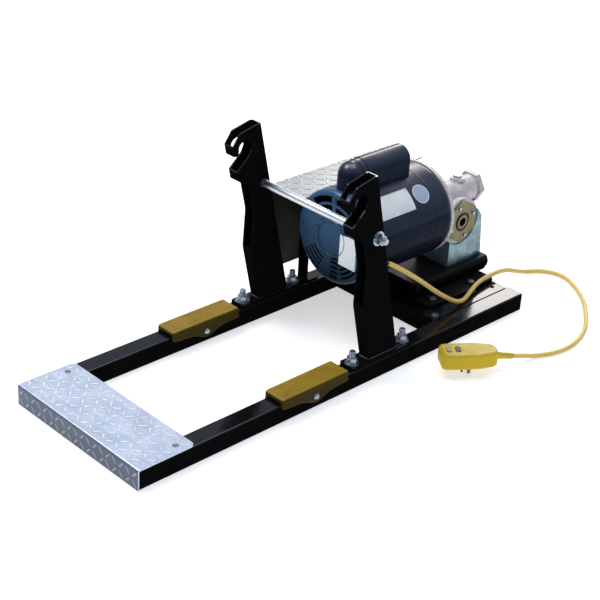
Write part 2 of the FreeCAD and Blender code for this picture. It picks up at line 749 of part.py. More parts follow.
def front_end_bell():
    """Front end of the motor: a raised hub, vents and the front bearing's seat."""
    outer, wall = size("motor_r"), size("shell_wall")
    deep = size("shell_front") - size("bell_front")
    seat, boss, seat_end = size("bearing_r") + size("slip"), size("bearing_r") + 5, 20
    face = BELL_STEP + wall
    corners = [(0, 0, 0), (HUB_R, 0, 0), (HUB_R, BELL_STEP, 0), (outer, BELL_STEP, 10),
               (outer, deep, 0), (outer - wall, deep, 0), (outer - wall, face, 7),
               (boss, face, 0), (boss, seat_end, 0), (seat, seat_end, 0), (seat, face, 0),
               (0, face, 0)]
    bell = turned(corners, "0", "bell_front", "motor_z")
    through = f"{face + 4}"
    before = "bell_front - 2"
    tools = []
    for reach in (52, 61, 70, 79):
        for start in (213, 294):
            tools.append(arc_slot(reach, reach + 4.5, start, 36, before, through))
    for inner, outer_edge in ((55, 66), (71, 84)):
        for start in (48, 94):
            tools.append(arc_slot(inner, outer_edge, start, 38, before, through))
    for angle in (24, 60, 95, 130, 162):
        x, z = around_motor(angle, 37)
        tools.append(rod("4.4", through, x, before, z, ALONG_Y))
    for row in range(5):
        tools.append(block("2", before, f"motor_z - {42 + 10 * row}", "19", through, "5.5"))
    for angle in QUARTERS:
        x, z = around_motor(angle, THROUGH_BOLT_REACH)
        tools.append(rod("2.5 + slip", through, x, before, z, ALONG_Y))
    node("front_end_bell", cut(bell, tools))


def rear_end_bell():
    outer, wall = size("motor_r"), size("shell_wall")
    deep = size("bell_back") - size("shell_back")
    seat, boss = size("bearing_r") + size("slip"), size("bearing_r") + 5
    back = deep - 4.5
    seat_front = back - 15
    corners = [(outer, 0, 0), (outer, deep - 6, 9), (outer - 3.5, deep, 0), (12, deep, 0),
               (12, back, 0), (seat, back, 0), (seat, seat_front, 0), (boss, seat_front, 0),
               (boss, back, 0), (outer - wall - 4, back, 0), (outer - wall, back - 6, 4),
               (outer - wall, 0, 0)]
    bell = turned(corners, "0", "shell_back", "motor_z")
    tools = []
    for angle in QUARTERS:
        x, z = around_motor(angle, THROUGH_BOLT_REACH)
        tools.append(rod("2.5 + slip", "8", x, "bell_back - 7", z, ALONG_Y))
    node("rear_end_bell", cut(bell, tools))


def through_bolts():
    bolts = []
    seat = f"bell_front + {BELL_STEP}"
    for angle in QUARTERS:
        x, z = around_motor(angle, THROUGH_BOLT_REACH)
        head = hexagon("8", "3", x, f"{seat} - 3", z, ALONG_Y)
        bolts.append(fuse([head, rod("2.5", f"bell_back - 1 - ({seat})", x, seat, z, ALONG_Y)]))
    node("through_bolts", group(bolts))


STATOR_BORE_R = 52
AIR_GAP = 0.4
WINDING_LONG = 18
SHAFT_FRONT = 606
SHAFT_LONG = 274
SPIGOT_LONG = 26
SWITCH_FRONT = 624
BEARING_LONG = 14
BACK_BEARING_FRONT = 821


def stator():
    core = motor_ring("motor_r - shell_wall - slip", f"{STATOR_BORE_R}", "core_back - core_front",
                      "core_front")
    holes = []
    for angle in QUARTERS:
        x, z = around_motor(angle, THROUGH_BOLT_REACH)
        holes.append(rod("3", "core_back - core_front", x, "core_front", z, ALONG_Y))
    node("stator_core", cut(core, holes))
    node("stator_windings", group([motor_ring("75", "56", f"{WINDING_LONG}", start)
                                   for start in (f"core_front - {WINDING_LONG}", "core_back")]))


def rotor_set():
    node("rotor", motor_ring(f"{STATOR_BORE_R - AIR_GAP}", "shaft_r + slip",
                             "core_back - core_front", "core_front"))
    shaft = rod("shaft_r", f"{SHAFT_LONG}", "0", f"{SHAFT_FRONT}", "motor_z", ALONG_Y)
    spigot = rod("6", f"{SPIGOT_LONG}", "0", f"{SHAFT_FRONT + SHAFT_LONG}", "motor_z", ALONG_Y)
    node("motor_shaft", fuse([shaft, spigot]))
    node("centrifugal_switch", motor_ring("27", "shaft_r + slip", "8", f"{SWITCH_FRONT}"))
    node("motor_bearings", group([motor_ring("bearing_r", "shaft_r + slip", f"{BEARING_LONG}",
                                             f"{start}")
                                  for start in (SHAFT_FRONT, BACK_BEARING_FRONT)]))


def cooling_fan():
    """A disc with radial blades behind the windings; it turns with the shaft."""
    blades, disc_r, hub_r = 8, 72.0, 17.0
    front, disc_front, back = 783.0, 794.0, 796.5
    axis = vector(0, 0, size("motor_z"))
    forward = vector(0, 1, 0)
    hub = Part.makeCylinder(hub_r, back - front, axis + forward * front, forward)
    disc = Part.makeCylinder(disc_r, back - disc_front, axis + forward * disc_front, forward)
    solid = hub.fuse(disc)
    for turn in range(blades):
        blade = Part.makeBox(disc_r - hub_r, disc_front - front, 2.0,
                             axis + vector(hub_r - 1, front, -1))
        blade.rotate(axis, forward, 360 / blades * turn)
        solid = solid.fuse(blade)
    bore = Part.makeCylinder(size("shaft_r") + size("slip"), back, axis, forward)
    bore.translate(forward * (front - 1))
    shape_node("cooling_fan", solid.cut(bore).removeSplitter())


def capacitor_case(half, front, back, low):
    """A case with a half-round top and a half-round, domed front end."""
    level = "cover_top - cover_half"
    middle = f"({front}) + ({half})"
    ball = doc.addObject("Part::Sphere", "Ball")
    bind(ball, "Radius", half)
    place(ball, "0", middle, level)
    return fuse([
        rod(half, f"({back}) - ({middle})", "0", middle, level, ALONG_Y),
        block(f"-({half})", middle, low, f"2 * ({half})", f"({back}) - ({middle})",
              f"{level} - ({low})"),
        rod(half, f"{level} - ({low})", "0", middle, low),
        ball,
    ])


def capacitor_cover():
    """A stepped case that sits on the shell, over the start capacitor."""
    low = "motor_z + motor_r - 8"
    nose = capacitor_case("cover_half - 2", "cover_front", "cover_back - 1", low)
    collar_length = "cover_back - cover_front - 34"
    level = "cover_top - cover_half"
    parts = [nose]
    for inset, start in ((1.0, 34), (0.0, 48)):
        length = f"cover_back - cover_front - {start}"
        half = f"(cover_half - {inset})"
        parts.append(rod(half, length, "0", f"cover_front + {start}", level, ALONG_Y))
        parts.append(block(f"-{half}", f"cover_front + {start}", low, f"2 * {half}", length,
                           f"{level} - ({low})"))
    hollow = capacitor_case("cover_half - 4.5", "cover_front + 2.5", "cover_back - cover_wall",
                            "motor_z + motor_r - 12")
    shell = rod("motor_r", "200", "0", "cover_front - 10", "motor_z", ALONG_Y)
    node("capacitor_cover", cut(fuse(parts), [hollow, shell]))
    node("start_capacitor", rod("19", "110", "0", "cover_front + 34", "cover_top - cover_half",
                                ALONG_Y))


NAMEPLATE_FRONT = 650
ROUND_LABEL_R = 20
ROUND_LABEL_Y = 774


def motor_labels():
    """Blank plates: one over the terminals on the bell and two on the shell."""
    cover = block("25", "bell_front - 2", "motor_z - 44", "43", "4", "62")
    hub = rod(f"{HUB_R} + slip", "10", "0", "bell_front", "motor_z", ALONG_Y)
    node("terminal_cover", cut(cover, [hub]))
    start, sweep, length = 32, 28, "96"
    turn = ALONG_Y.multiply(FreeCAD.Rotation(vector(0, 0, 1), -start - sweep))
    front = f"{NAMEPLATE_FRONT}"
    name_sector = rod("motor_r + 0.6", length, "0", front, "motor_z", turn)
    name_sector.Angle = sweep
    node("nameplate", cut(name_sector, [rod("motor_r", length, "0", front, "motor_z", ALONG_Y)]))
    label_angle = 46.9
    outward = FreeCAD.Rotation(vector(0, 1, 0), 90 - label_angle)
    disc = rod(f"{ROUND_LABEL_R}", "motor_r + 10", "0", f"{ROUND_LABEL_Y}", "motor_z", outward)
    skin = motor_ring("motor_r + 0.5", "motor_r", f"{2 * ROUND_LABEL_R + 4}",
                      f"{ROUND_LABEL_Y - ROUND_LABEL_R - 2}")
    node("round_label", common(skin, disc))


# gearbox --------------------------------------------------------------------------------

GEAR_FRONT = 885
BEARING_SEAT_R = 24.5
SEAL_R = 20.5
WORM_SEAT_R = 20
COVER_SHEET = 5
COVER_ACROSS = 82
COVER_SCREW_REACH = 34
COVER_SCREW_TALL = 2.5
OIL_PLUG_Y = 962
OIL_BOSS_TALL = 5
COVER_SCREW_ANGLES = (20, 110, 200, 290)


def across_gear(radius, half):
    """A cylinder about the output axis, half to each side of the middle."""
    return rod(radius, f"2 * ({half})", f"-({half})", "gear_y", "gear_z", ALONG_X)


def sided(side, low, length):
    """x of the low end of a length that starts at low on one side of the middle."""
    return low if side > 0 else f"-({low}) - ({length})"


def cover_screw_spots():
    for angle in COVER_SCREW_ANGLES:
        y = COVER_SCREW_REACH * math.cos(math.radians(angle))
        z = COVER_SCREW_REACH * math.sin(math.radians(angle))
        yield f"gear_y + {y:.4f}", f"gear_z + {z:.4f}"


def gearbox_flange():
    """The adapter between the motor's rear bell and the worm tube."""
    rim = size("motor_r")
    long_way = GEAR_FRONT - size("bell_back")
    corners = [(22, 0, 0), (rim, 0, 0), (rim, 10, 4), (66, 15, 4), (46, 36, 12),
               (46, long_way, 0), (22, long_way, 0)]
    node("gearbox_flange", turned(corners, "0", "bell_back", "motor_z"))


def gearbox_housing():
    tube_front = GEAR_FRONT + 4
    tube = rod("worm_tube_r", f"worm_back - {tube_front}", "0", f"{tube_front}", "motor_z",
               ALONG_Y)
    neck = rod("44.5", "8", "0", f"{GEAR_FRONT}", "motor_z", ALONG_Y)
    boss = rod("15", f"{OIL_BOSS_TALL + 2}", "0", f"{OIL_PLUG_Y}", "motor_z + worm_tube_r - 2")
    drum = across_gear("gear_r", "gear_half")
    tools = [
        rod(f"{WORM_SEAT_R} + slip", "worm_back", "0", f"{GEAR_FRONT} - 1", "motor_z", ALONG_Y),
        across_gear("38", "14"),
        across_gear(f"{BEARING_SEAT_R} + slip", "gear_half + 1"),
        rod("6 + slip", "16", "0", f"{OIL_PLUG_Y}", "motor_z + worm_tube_r - 8"),
    ]
    for y, z in cover_screw_spots():
        for side in BOTH:
            x = sided(side, "gear_half - 8", "9")
            tools.append(rod("2 + slip", "9", x, y, z, ALONG_X))
    node("gearbox_housing", cut(fuse([tube, neck, boss, drum], False), tools))


def gearbox_bracket():
    """The cast block that carries the wheel housing on the motor base."""
    low, top, half = size("base_top"), size("gear_z") + 15.5, 43
    corners = [(907, low, 0), (1012, low, 0), (1002, top - 20, 6), (988, top, 6), (907, top, 0)]
    block_shape = profile("YZ_Plane", corners, 2 * half, -half, "0", "0")
    node("gearbox_bracket", cut(block_shape, [across_gear("gear_r + slip", "50")]))


def gearbox_side_covers():
    covers = []
    for side in BOTH:
        lid = hexagon(COVER_ACROSS, COVER_SHEET, sided(side, "gear_half", COVER_SHEET), "gear_y",
                      "gear_z", ALONG_X)
        spigot = rod(BEARING_SEAT_R, "3", sided(side, "gear_half - 3", "3"), "gear_y", "gear_z",
                     ALONG_X)
        tools = [rod(f"{SEAL_R} + slip", "12", sided(side, "gear_half - 5", "12"), "gear_y",
                     "gear_z", ALONG_X)]
        for y, z in cover_screw_spots():
            x = sided(side, "gear_half - 1", "8")
            tools.append(rod("2 + slip", "8", x, y, z, ALONG_X))
        covers.append(cut(fuse([lid, spigot]), tools))
    node("gearbox_side_covers", group(covers))


def side_cover_screws():
    screws = []
    for side in BOTH:
        for y, z in cover_screw_spots():
            face = f"gear_half + {COVER_SHEET}"
            head = rod("3.4", COVER_SCREW_TALL, sided(side, face, COVER_SCREW_TALL), y, z, ALONG_X)
            shank = rod("2", "12", sided(side, f"{face} - 12", "12"), y, z, ALONG_X)
            screws.append(fuse([head, shank]))
    node("side_cover_screws", group(screws))


def output_set():
    """Hollow output shaft with its bearings and seals, all about the output axis."""
    shaft = across_gear("output_r", "output_half")
    node("output_shaft", cut(shaft, [across_gear("bore_r", "output_half")]))
    bearings = []
    seals = []
    for side in BOTH:
        bearings.append(ring(BEARING_SEAT_R, "output_r + slip", "12",
                             sided(side, "gear_half - 16", "12"), "gear_y", "gear_z", ALONG_X))
        seals.append(ring(SEAL_R, "output_r + slip", "5", sided(side, "gear_half - 2", "5"),
                          "gear_y", "gear_z", ALONG_X))
    node("output_bearings", group(bearings))
    node("output_seals", group(seals))


def lead_of_worm():
    """Axial travel of the single worm thread in one turn."""
    return 2 * math.pi * size("pitch_r") / size("gear_teeth")


def worm():
    """A worm with a right-hand thread, centred over the wheel with a thread at the wheel's top."""
    root, tip, journal = 9.5, 14.0, 9.0
    turns = 6
    lead = lead_of_worm()
    front = size("gear_y") - lead * (turns / 2 + 0.25)
    helix = Part.makeHelix(lead, lead * turns, root)
    tooth = [vector(root - 0.4, 0, -1.55), vector(tip, 0, -0.85), vector(tip, 0, 0.85),
             vector(root - 0.4, 0, 1.55)]
    section = Part.makePolygon(tooth + [tooth[0]])
    thread = Part.Wire(helix.Edges).makePipeShell([section], True, True)
    thread.rotate(vector(), vector(1, 0, 0), -90)
    axis = vector(0, 0, size("motor_z"))
    forward = vector(0, 1, 0)
    thread.translate(axis + forward * front)
    shaft = Part.makeCylinder(journal, 108, axis + forward * 887, forward)
    core = Part.makeCylinder(root, lead * (turns + 2), axis + forward * (front - lead), forward)
    bore = Part.makeCylinder(6 + size("slip"), 22, axis + forward * 886, forward)
    solid = shaft.fuse(core).fuse(thread).cut(bore)
    shape_node("worm", solid)


def worm_wheel():
    """A bronze wheel whose slots lie along the worm's thread, with a slot at its top."""
    tip, root, half, hub_half = 36.0, 31.2, 9.0, 12.0
    slot_wide = 4.7
    teeth = int(size("gear_teeth"))
    middle = vector(0, size("gear_y"), size("gear_z"))
    across = vector(1, 0, 0)
    rim = Part.makeCylinder(tip, 2 * half, middle - across * half, across)
    hub = Part.makeCylinder(24, 2 * hub_half, middle - across * hub_half, across)
    lean = math.degrees(math.atan(lead_of_worm() / (2 * math.pi * 12)))
    slot = Part.makeBox(40, slot_wide, 10, middle + vector(-20, -slot_wide / 2, root))
    slot.rotate(middle, vector(0, 0, 1), -lean)
    slots = []
    for tooth in range(teeth):
        turned_slot = slot.copy()
        turned_slot.rotate(middle, across, 360 / teeth * tooth)
        slots.append(turned_slot)
    bore = Part.makeCylinder(size("output_r") + size("slip"), 40, middle - across * 20, across)
    shape_node("worm_wheel", rim.cut(slots).fuse(hub).cut(bore))


def worm_fittings():
    """Bearings of the worm, the cap that closes its tube and the oil plug."""
    bearings = [motor_ring(WORM_SEAT_R, "9 + slip", "11", f"{GEAR_FRONT + 3}"),
                motor_ring(WORM_SEAT_R, "9 + slip", "11", "982")]
    node("worm_bearings", group(bearings))
    lid = hexagon("2 * worm_tube_r + 4", "12", "0", "worm_back", "motor_z", ALONG_Y)
    spigot = rod(WORM_SEAT_R, "4", "0", "worm_back - 4", "motor_z", ALONG_Y)
    node("worm_end_cap", fuse([lid, spigot]))
    seat = f"motor_z + worm_tube_r + {OIL_BOSS_TALL}"
    head = hex_solid("17", "5", "0", f"{OIL_PLUG_Y}", seat, "z")
    node("oil_plug", fuse([head, rod("6", "10", "0", f"{OIL_PLUG_Y}", f"{seat} - 10")]))


# lead -----------------------------------------------------------------------------------

# The lead's route from the gland, past the motor, over the base flange and the rear edge of the
# frame, and round on the floor to the plug (y from the step's front lip).
LEAD_ROUTE = [
    (103, 622, 201), (103, 648, 194), (104, 688, 168), (107, 748, 124), (112, 806, 76),
    (126, 860, 41), (109, 910, 48), (98, 941, 50), (92.5, 974, 50.5), (90, 1006, 50),
    (87.5, 1036, 46), (84.5, 1060, 38.5), (81.5, 1084, 28.5), (79, 1111, 16.5), (78, 1138, 7),
    (89.5, 1167, 5), (114.5, 1185.5, 5), (145.5, 1188.5, 5), (185, 1170, 5), (220, 1146, 5),
    (250, 1118, 5), (280, 1082, 5), (309, 1043, 5), (330, 995, 5), (338, 948, 5), (332, 905, 5),
    (316, 869, 5.5), (307, 840, 12), (304, 813, 20.5), (299.4, 789.1, 27.7),
]
PLUG_X = 264
PLUG_Y = 724
PLUG_TURN = 55


def lead_tube(points, radius):
    """Straight runs joined by tangent arcs, each as large as its two runs allow."""
    share = 0.45
    edges = []
    start = points[0]
    for before, corner, after in zip(points, points[1:], points[2:]):
        arriving, leaving = corner - before, after - corner
        shorter = min(arriving.Length, leaving.Length)
        half_turn = arriving.getAngle(leaving) / 2
        bend = share * shorter / math.tan(half_turn)
        print(f"lead bend: turn {math.degrees(2 * half_turn):.1f} deg, radius {bend:.1f} mm")
        arriving.normalize()
        leaving.normalize()
        entry = corner - arriving * share * shorter
        leave = corner + leaving * share * shorter
        inward = (leaving - arriving).normalize()
        middle = corner + inward * bend * (1 / math.cos(half_turn) - 1)
        edges.append(Part.LineSegment(start, entry).toShape())
        edges.append(Part.Arc(entry, middle, leave).toShape())
        start = leave
    edges.append(Part.LineSegment(start, points[-1]).toShape())
    path = Part.Wire(edges)
    direction = points[1] - points[0]
    section = Part.Wire([Part.Circle(points[0], direction, radius).toShape()])
    tube = path.makePipeShell([section], True, False)
    area = math.pi * radius ** 2
    length = path.Length
    print(f"lead: length {length:.1f} mm, volume over section {tube.Volume / area:.1f} mm")
    return tube


def power_cord():
    points = [vector(*spot) for spot in LEAD_ROUTE]
    shape_node("power_cord", lead_tube(points, size("lead_r")))


def cord_gland():
    """A right-angle gland on the side of the front bell."""
    start = vector(*LEAD_ROUTE[0])
    direction = (vector(*LEAD_ROUTE[1]) - start).normalize()
    elbow = start - direction * 10
    nozzle_turn = FreeCAD.Rotation(vector(0, 0, 1), direction)
    nozzle = rod("7.5", "10", f"{elbow.x}", f"{elbow.y}", f"{elbow.z}", nozzle_turn)
    knuckle = doc.addObject("Part::Sphere", "Ball")
    bind(knuckle, "Radius", "9")
    place(knuckle, f"{elbow.x}", f"{elbow.y}", f"{elbow.z}")
    neck = rod("9", "20", f"{elbow.x - 20}", f"{elbow.y}", f"{elbow.z}", ALONG_X)
    locknut = hexagon("24", "5", "92", f"{elbow.y}", f"{elbow.z}", ALONG_X)
    bell = rod("motor_r + slip", "60", "0", "bell_front - 5", "motor_z", ALONG_Y)
    node("cord_gland", cut(fuse([nozzle, knuckle, neck, locknut]), [bell]))


def plug_piece(corners, length, z):
    turn = FreeCAD.Rotation(vector(0, 0, 1), PLUG_TURN)
    return profile("XY_Plane", corners, length, PLUG_X, PLUG_Y, z, turn)


def slot_corners(x, y, half_wide, half_deep, corner):
    return [(x - half_wide, y - half_deep, corner), (x + half_wide, y - half_deep, corner),
            (x + half_wide, y + half_deep, corner), (x - half_wide, y + half_deep, corner)]


BUTTON_SPOTS = (("test_button", -40), ("reset_button", -22))
BUTTON_HALF = (4.8, 9.5)
BLADE_SPOTS = ((2, -6.35), (2, 6.35))
BLADE_HALF = (3.2, 0.8)
BLADE_ROOT = 8
RELIEF_ROOT_R = 8.2
RELIEF_TIP_R = 6.0
RELIEF_LONG = 30


def plug():
    """A ground-fault plug that rests on its blades, its button face up."""
    half, half_long = size("plug_half"), size("plug_long") / 2
    corners = [(-half_long, -half, 13), (16, -half, 30), (half_long, 9 - half, 15),
               (half_long, half - 9, 15), (16, half, 30), (-half_long, half, 13)]
    body = plug_piece(corners, "plug_high - plug_low", "plug_low")
    doc.recompute()
    rims = [f"Edge{count}" for count, edge in enumerate(body.Tip.Shape.Edges, start=1)
            if abs(edge.BoundBox.ZLength) < 1e-6]
    fillet(body, body.Tip, rims, "6.5")
    play = 0.3
    tools = []
    for name, x in BUTTON_SPOTS:
        half_wide, half_deep = BUTTON_HALF
        hole = slot_corners(x, 0, half_wide + play, half_deep + play, half_wide)
        tools.append(plug_piece(hole, "12", "plug_high - 10"))
    for x, y in BLADE_SPOTS:
        hole = slot_corners(x, y, BLADE_HALF[0] + 0.05, BLADE_HALF[1] + 0.05, 0)
        tools.append(plug_piece(hole, BLADE_ROOT, "plug_low"))
    ground = slot_corners(-10, 0, 2.45, 2.45, 2.4)
    tools.append(plug_piece(ground, BLADE_ROOT, "plug_low"))
    end = vector(*LEAD_ROUTE[-1])
    direction = (vector(*LEAD_ROUTE[-2]) - end).normalize()
    root = end - direction * RELIEF_LONG
    relief = cone(f"{RELIEF_ROOT_R}", f"{RELIEF_TIP_R}", f"{RELIEF_LONG}", f"{root.x}", f"{root.y}",
                  f"{root.z}", FreeCAD.Rotation(vector(0, 0, 1), direction))
    node("plug_body", cut(fuse([body, relief]), tools))
    blades = [plug_piece(slot_corners(x, y, BLADE_HALF[0], BLADE_HALF[1], 0),
                         f"plug_low + {BLADE_ROOT} - 0.2", "0.2") for x, y in BLADE_SPOTS]
    blades.append(plug_piece(slot_corners(-10, 0, 2.4, 2.4, 2.3),
                             f"plug_low + {BLADE_ROOT} - 0.2", "0.2"))
    node("plug_blades", group(blades))
    for name, x in BUTTON_SPOTS:
        half_wide, half_deep = BUTTON_HALF
        corners = slot_corners(x, 0, half_wide, half_deep, half_wide - 0.2)
        node(name, plug_piece(corners, "8 + button_travel", "plug_high - 8"))


# ----------------------------------------------------------------------------------------

def build():
    for name, side in SIDES:
        rail(f"{name}_rail", side)
        post(f"{name}_post", side)
        post_foot(f"{name}_foot", side)
        rocker_pad(f"{name}_pad", side)
    front_cross_tube()
    step_plate()
    step_screws()
    platform_tube("platform_front_tube", "deck_front + cross_side / 2", "deck_bolt_x",
                  "deck_bolt_y", "small_r + slip")
    platform_tube("platform_rear_tube", "deck_back - cross_side / 2", "deck_hole_x",
                  "deck_hole_y", "deck_hole_r")
    motor_platform()
    hex_bolts()
    base_nuts()
    foot_studs()
    half_inch_washers_and_nuts()
    tie_rod()
    pad_pins()
    guard_plate()
    guard_brackets()
    guard_screws()
    motor_base()
    node("motor_shell", motor_ring("motor_r", "motor_r - shell_wall", "shell_back - shell_front",
                                   "shell_front"))
    front_end_bell()
    rear_end_bell()
    through_bolts()
    stator()
    rotor_set()
    cooling_fan()
    capacitor_cover()
    motor_labels()
    gearbox_flange()
    gearbox_housing()
    gearbox_bracket()
    gearbox_side_covers()
    side_cover_screws()
    output_set()
    worm()
    worm_wheel()
    worm_fittings()
    power_cord()
    cord_gland()
    plug()


def check():
    """Stops on any failed object or any sub-part without a sound shape."""
    doc.recompute()
    for thing in doc.Objects:
        if "Invalid" in thing.State or "Error" in thing.State:
            raise RuntimeError(f"{thing.Label} ({thing.TypeId}) failed: {thing.State}")
    for thing in nodes:
        shape = thing.Shape
        if shape.isNull() or not shape.isValid() or not shape.Solids:
            raise RuntimeError(f"{thing.Label} has no sound shape")


def write():
    os.makedirs("parts", exist_ok=True)
    for thing in nodes:
        thing.Shape.exportStep(f"parts/{thing.Label}.step")
        box = thing.Shape.BoundBox
        print(f"{thing.Label}: {len(thing.Shape.Solids)} solid(s), "
              f"{thing.Shape.Volume / 1000:.1f} cm3, x {box.XMin:.1f} {box.XMax:.1f}, "
              f"y {box.YMin:.1f} {box.YMax:.1f}, z {box.ZMin:.1f} {box.ZMax:.1f}")
    print(f"{len(nodes)} nodes")


build()
check()
write()
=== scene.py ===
import json
import math
import random

import bmesh
import bpy
from mathutils import Matrix, Vector


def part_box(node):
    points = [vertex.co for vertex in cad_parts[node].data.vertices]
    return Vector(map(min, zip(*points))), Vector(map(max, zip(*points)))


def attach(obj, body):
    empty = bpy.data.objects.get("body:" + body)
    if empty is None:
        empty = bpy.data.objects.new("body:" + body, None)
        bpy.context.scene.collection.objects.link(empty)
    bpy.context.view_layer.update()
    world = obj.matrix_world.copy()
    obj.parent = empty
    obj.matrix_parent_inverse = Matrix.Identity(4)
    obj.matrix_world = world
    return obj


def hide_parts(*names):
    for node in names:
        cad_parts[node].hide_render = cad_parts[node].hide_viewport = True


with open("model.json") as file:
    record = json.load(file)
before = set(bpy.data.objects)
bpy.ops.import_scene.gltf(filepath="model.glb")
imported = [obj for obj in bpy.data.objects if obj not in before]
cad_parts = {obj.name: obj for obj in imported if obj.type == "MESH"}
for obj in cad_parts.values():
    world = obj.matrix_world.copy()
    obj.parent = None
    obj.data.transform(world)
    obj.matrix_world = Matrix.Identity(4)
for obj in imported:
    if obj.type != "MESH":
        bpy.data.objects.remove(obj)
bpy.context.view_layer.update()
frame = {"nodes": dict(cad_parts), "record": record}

nodes = frame["nodes"]
MM = 0.001
FRONT_Y = -509.0
X_WAY, Y_WAY, UP = Vector((1, 0, 0)), Vector((0, 1, 0)), Vector((0, 0, 1))
SIDES = (-1, 1)


def at(x, y, z):
    """A point in metres from millimetres; y counts from the step's front lip."""
    return Vector((x, y + FRONT_Y, z)) * MM


# camera ---------------------------------------------------------------------------------

CAMERA_TURNS = (44.627, 28.409, 3.514)
CAMERA_AIM = (25.4, 500.4, 128.6)
CAMERA_FAR = 2.7846
CAMERA_LENS = 88.87


def make_camera():
    """Looks at the aim from a turn about z, a height angle and a roll, all in degrees."""
    azimuth, elevation, roll = (math.radians(angle) for angle in CAMERA_TURNS)
    back = Vector((math.sin(azimuth) * math.cos(elevation),
                   -math.cos(azimuth) * math.cos(elevation), math.sin(elevation)))
    right = (-back).cross(UP).normalized()
    up = right.cross(-back)
    side = right * math.cos(roll) + up * math.sin(roll)
    top = up * math.cos(roll) - right * math.sin(roll)
    camera = bpy.data.objects.new("camera", bpy.data.cameras.new("camera"))
    bpy.context.collection.objects.link(camera)
    camera.data.sensor_width = 36
    camera.data.lens = CAMERA_LENS
    camera.data.clip_end = 100
    turned_axes = Matrix((side, top, back)).transposed().to_4x4()
    camera.matrix_world = Matrix.Translation(at(*CAMERA_AIM) + back * CAMERA_FAR) @ turned_axes
    bpy.context.scene.camera = camera


make_camera()


# materials ------------------------------------------------------------------------------

class Shader:
    """A node material: sockets are passed where a value may be given."""

    def __init__(self, name):
        self.material = bpy.data.materials.new(name)
        self.material.use_nodes = True
        self.tree = self.material.node_tree
        self.surface = self.tree.nodes["Principled BSDF"]
        self.place = self.add("ShaderNodeTexCoord").outputs["Object"]

    def add(self, kind, values=None, **settings):
        made = self.tree.nodes.new(kind)
        for key, value in settings.items():
            setattr(made, key, value)
        for key, value in (values or {}).items():
            self.set(made.inputs[key], value)
        return made

    def set(self, socket, value):
        if isinstance(value, bpy.types.NodeSocket):
            self.tree.links.new(value, socket)
        elif socket.type == "RGBA" and len(value) == 3:
            socket.default_value = (*value, 1)
        else:
            socket.default_value = value

    def noise(self, scale, detail=3.0, stretch=(1, 1, 1), rough=0.5):
        placed = self.add("ShaderNodeMapping", {"Vector": self.place, "Scale": stretch})
        made = self.add("ShaderNodeTexNoise", {"Vector": placed.outputs[0], "Scale": scale,
                                               "Detail": detail, "Roughness": rough})
        return made.outputs["Fac"]

    def cells(self, scale):
        """A random colour for each cell."""
        made = self.add("ShaderNodeTexVoronoi", {"Vector": self.place, "Scale": scale})
        return made.outputs["Color"]

    def range(self, value, low, high, to_low=0.0, to_high=1.0):
        made = self.add("ShaderNodeMapRange", {"Value": value, "From Min": low, "From Max": high,
                                               "To Min": to_low, "To Max": to_high})
        return made.outputs[0]

    def facing(self, axis, sign, start=0.45, end=0.85):
        """1 where the surface looks along an axis, 0 where it looks away."""
        normal = self.add("ShaderNodeNewGeometry").outputs["Normal"]
        part = self.add("ShaderNodeSeparateXYZ", {"Vector": normal}).outputs[axis]
        return self.range(self.sum(part, sign, "MULTIPLY"), start, end)

    def gloss(self, shine):
        """Shine as (flanks, tops): painted shade, faces that look sideways or down are made to
        reflect less than faces that look up.
        """
        return self.range(self.facing("Z", 1, 0.2, 0.75), 0, 1, *shine)

    def height(self, low, high):
        """0 below the low height and 1 above the high one, in millimetres from the floor."""
        level = self.add("ShaderNodeSeparateXYZ", {"Vector": self.place}).outputs["Z"]
        return self.range(level, low * MM, high * MM)

    def sum(self, first, second, operation="ADD"):
        made = self.add("ShaderNodeMath", operation=operation)
        self.set(made.inputs[0], first)
        self.set(made.inputs[1], second)
        return made.outputs[0]

    def mix(self, share, first, second):
        made = self.add("ShaderNodeMix", data_type="RGBA")
        self.set(made.inputs["Factor"], share)
        self.set(made.inputs[6], first)
        self.set(made.inputs[7], second)
        return made.outputs[2]

    def bump(self, height, distance, strength=1.0, edge=0.0):
        values = {"Height": height, "Distance": distance, "Strength": strength}
        if edge:
            values["Normal"] = self.add("ShaderNodeBevel", {"Radius": edge}, samples=4).outputs[0]
        made = self.add("ShaderNodeBump", values)
        self.set(self.surface.inputs["Normal"], made.outputs[0])

    def finish(self, **values):
        names = {"colour": "Base Color", "rough": "Roughness", "metal": "Metallic",
                 "coat": "Coat Weight", "coat_rough": "Coat Roughness",
                 "shine": "Specular IOR Level", "skin": "Subsurface Weight"}
        for key, value in values.items():
            self.set(self.surface.inputs[names[key]], value)
        return self.material


def paint(name, colour, dusty, rough, shine=(0.5, 0.5), low=None):
    """Sprayed enamel: orange peel, a little dust and some dull patches.

    low is (height, height, colour): painted shade, a darker tone painted below the first height."""
    made = Shader(name)
    patches = made.noise(14, 4)
    specks = made.range(made.noise(160, 2), 0.66, 0.78)
    dust = made.range(made.noise(34, 5, rough=0.65), 0.5, 0.85, 0.0, 0.3)
    tone = made.mix(dust, colour, dusty)
    tone = made.mix(made.sum(specks, 0.35, "MULTIPLY"), tone, dusty)
    # painted shade: the tone darkens towards the low colour below the low heights
    if low:
        tone = made.mix(made.height(low[0], low[1]), low[2], tone)
    made.bump(made.noise(420, 2), 0.00005, 0.6, 0.0008)
    return made.finish(colour=tone, rough=made.range(patches, 0.35, 0.7, *rough),
                       shine=made.gloss(shine))


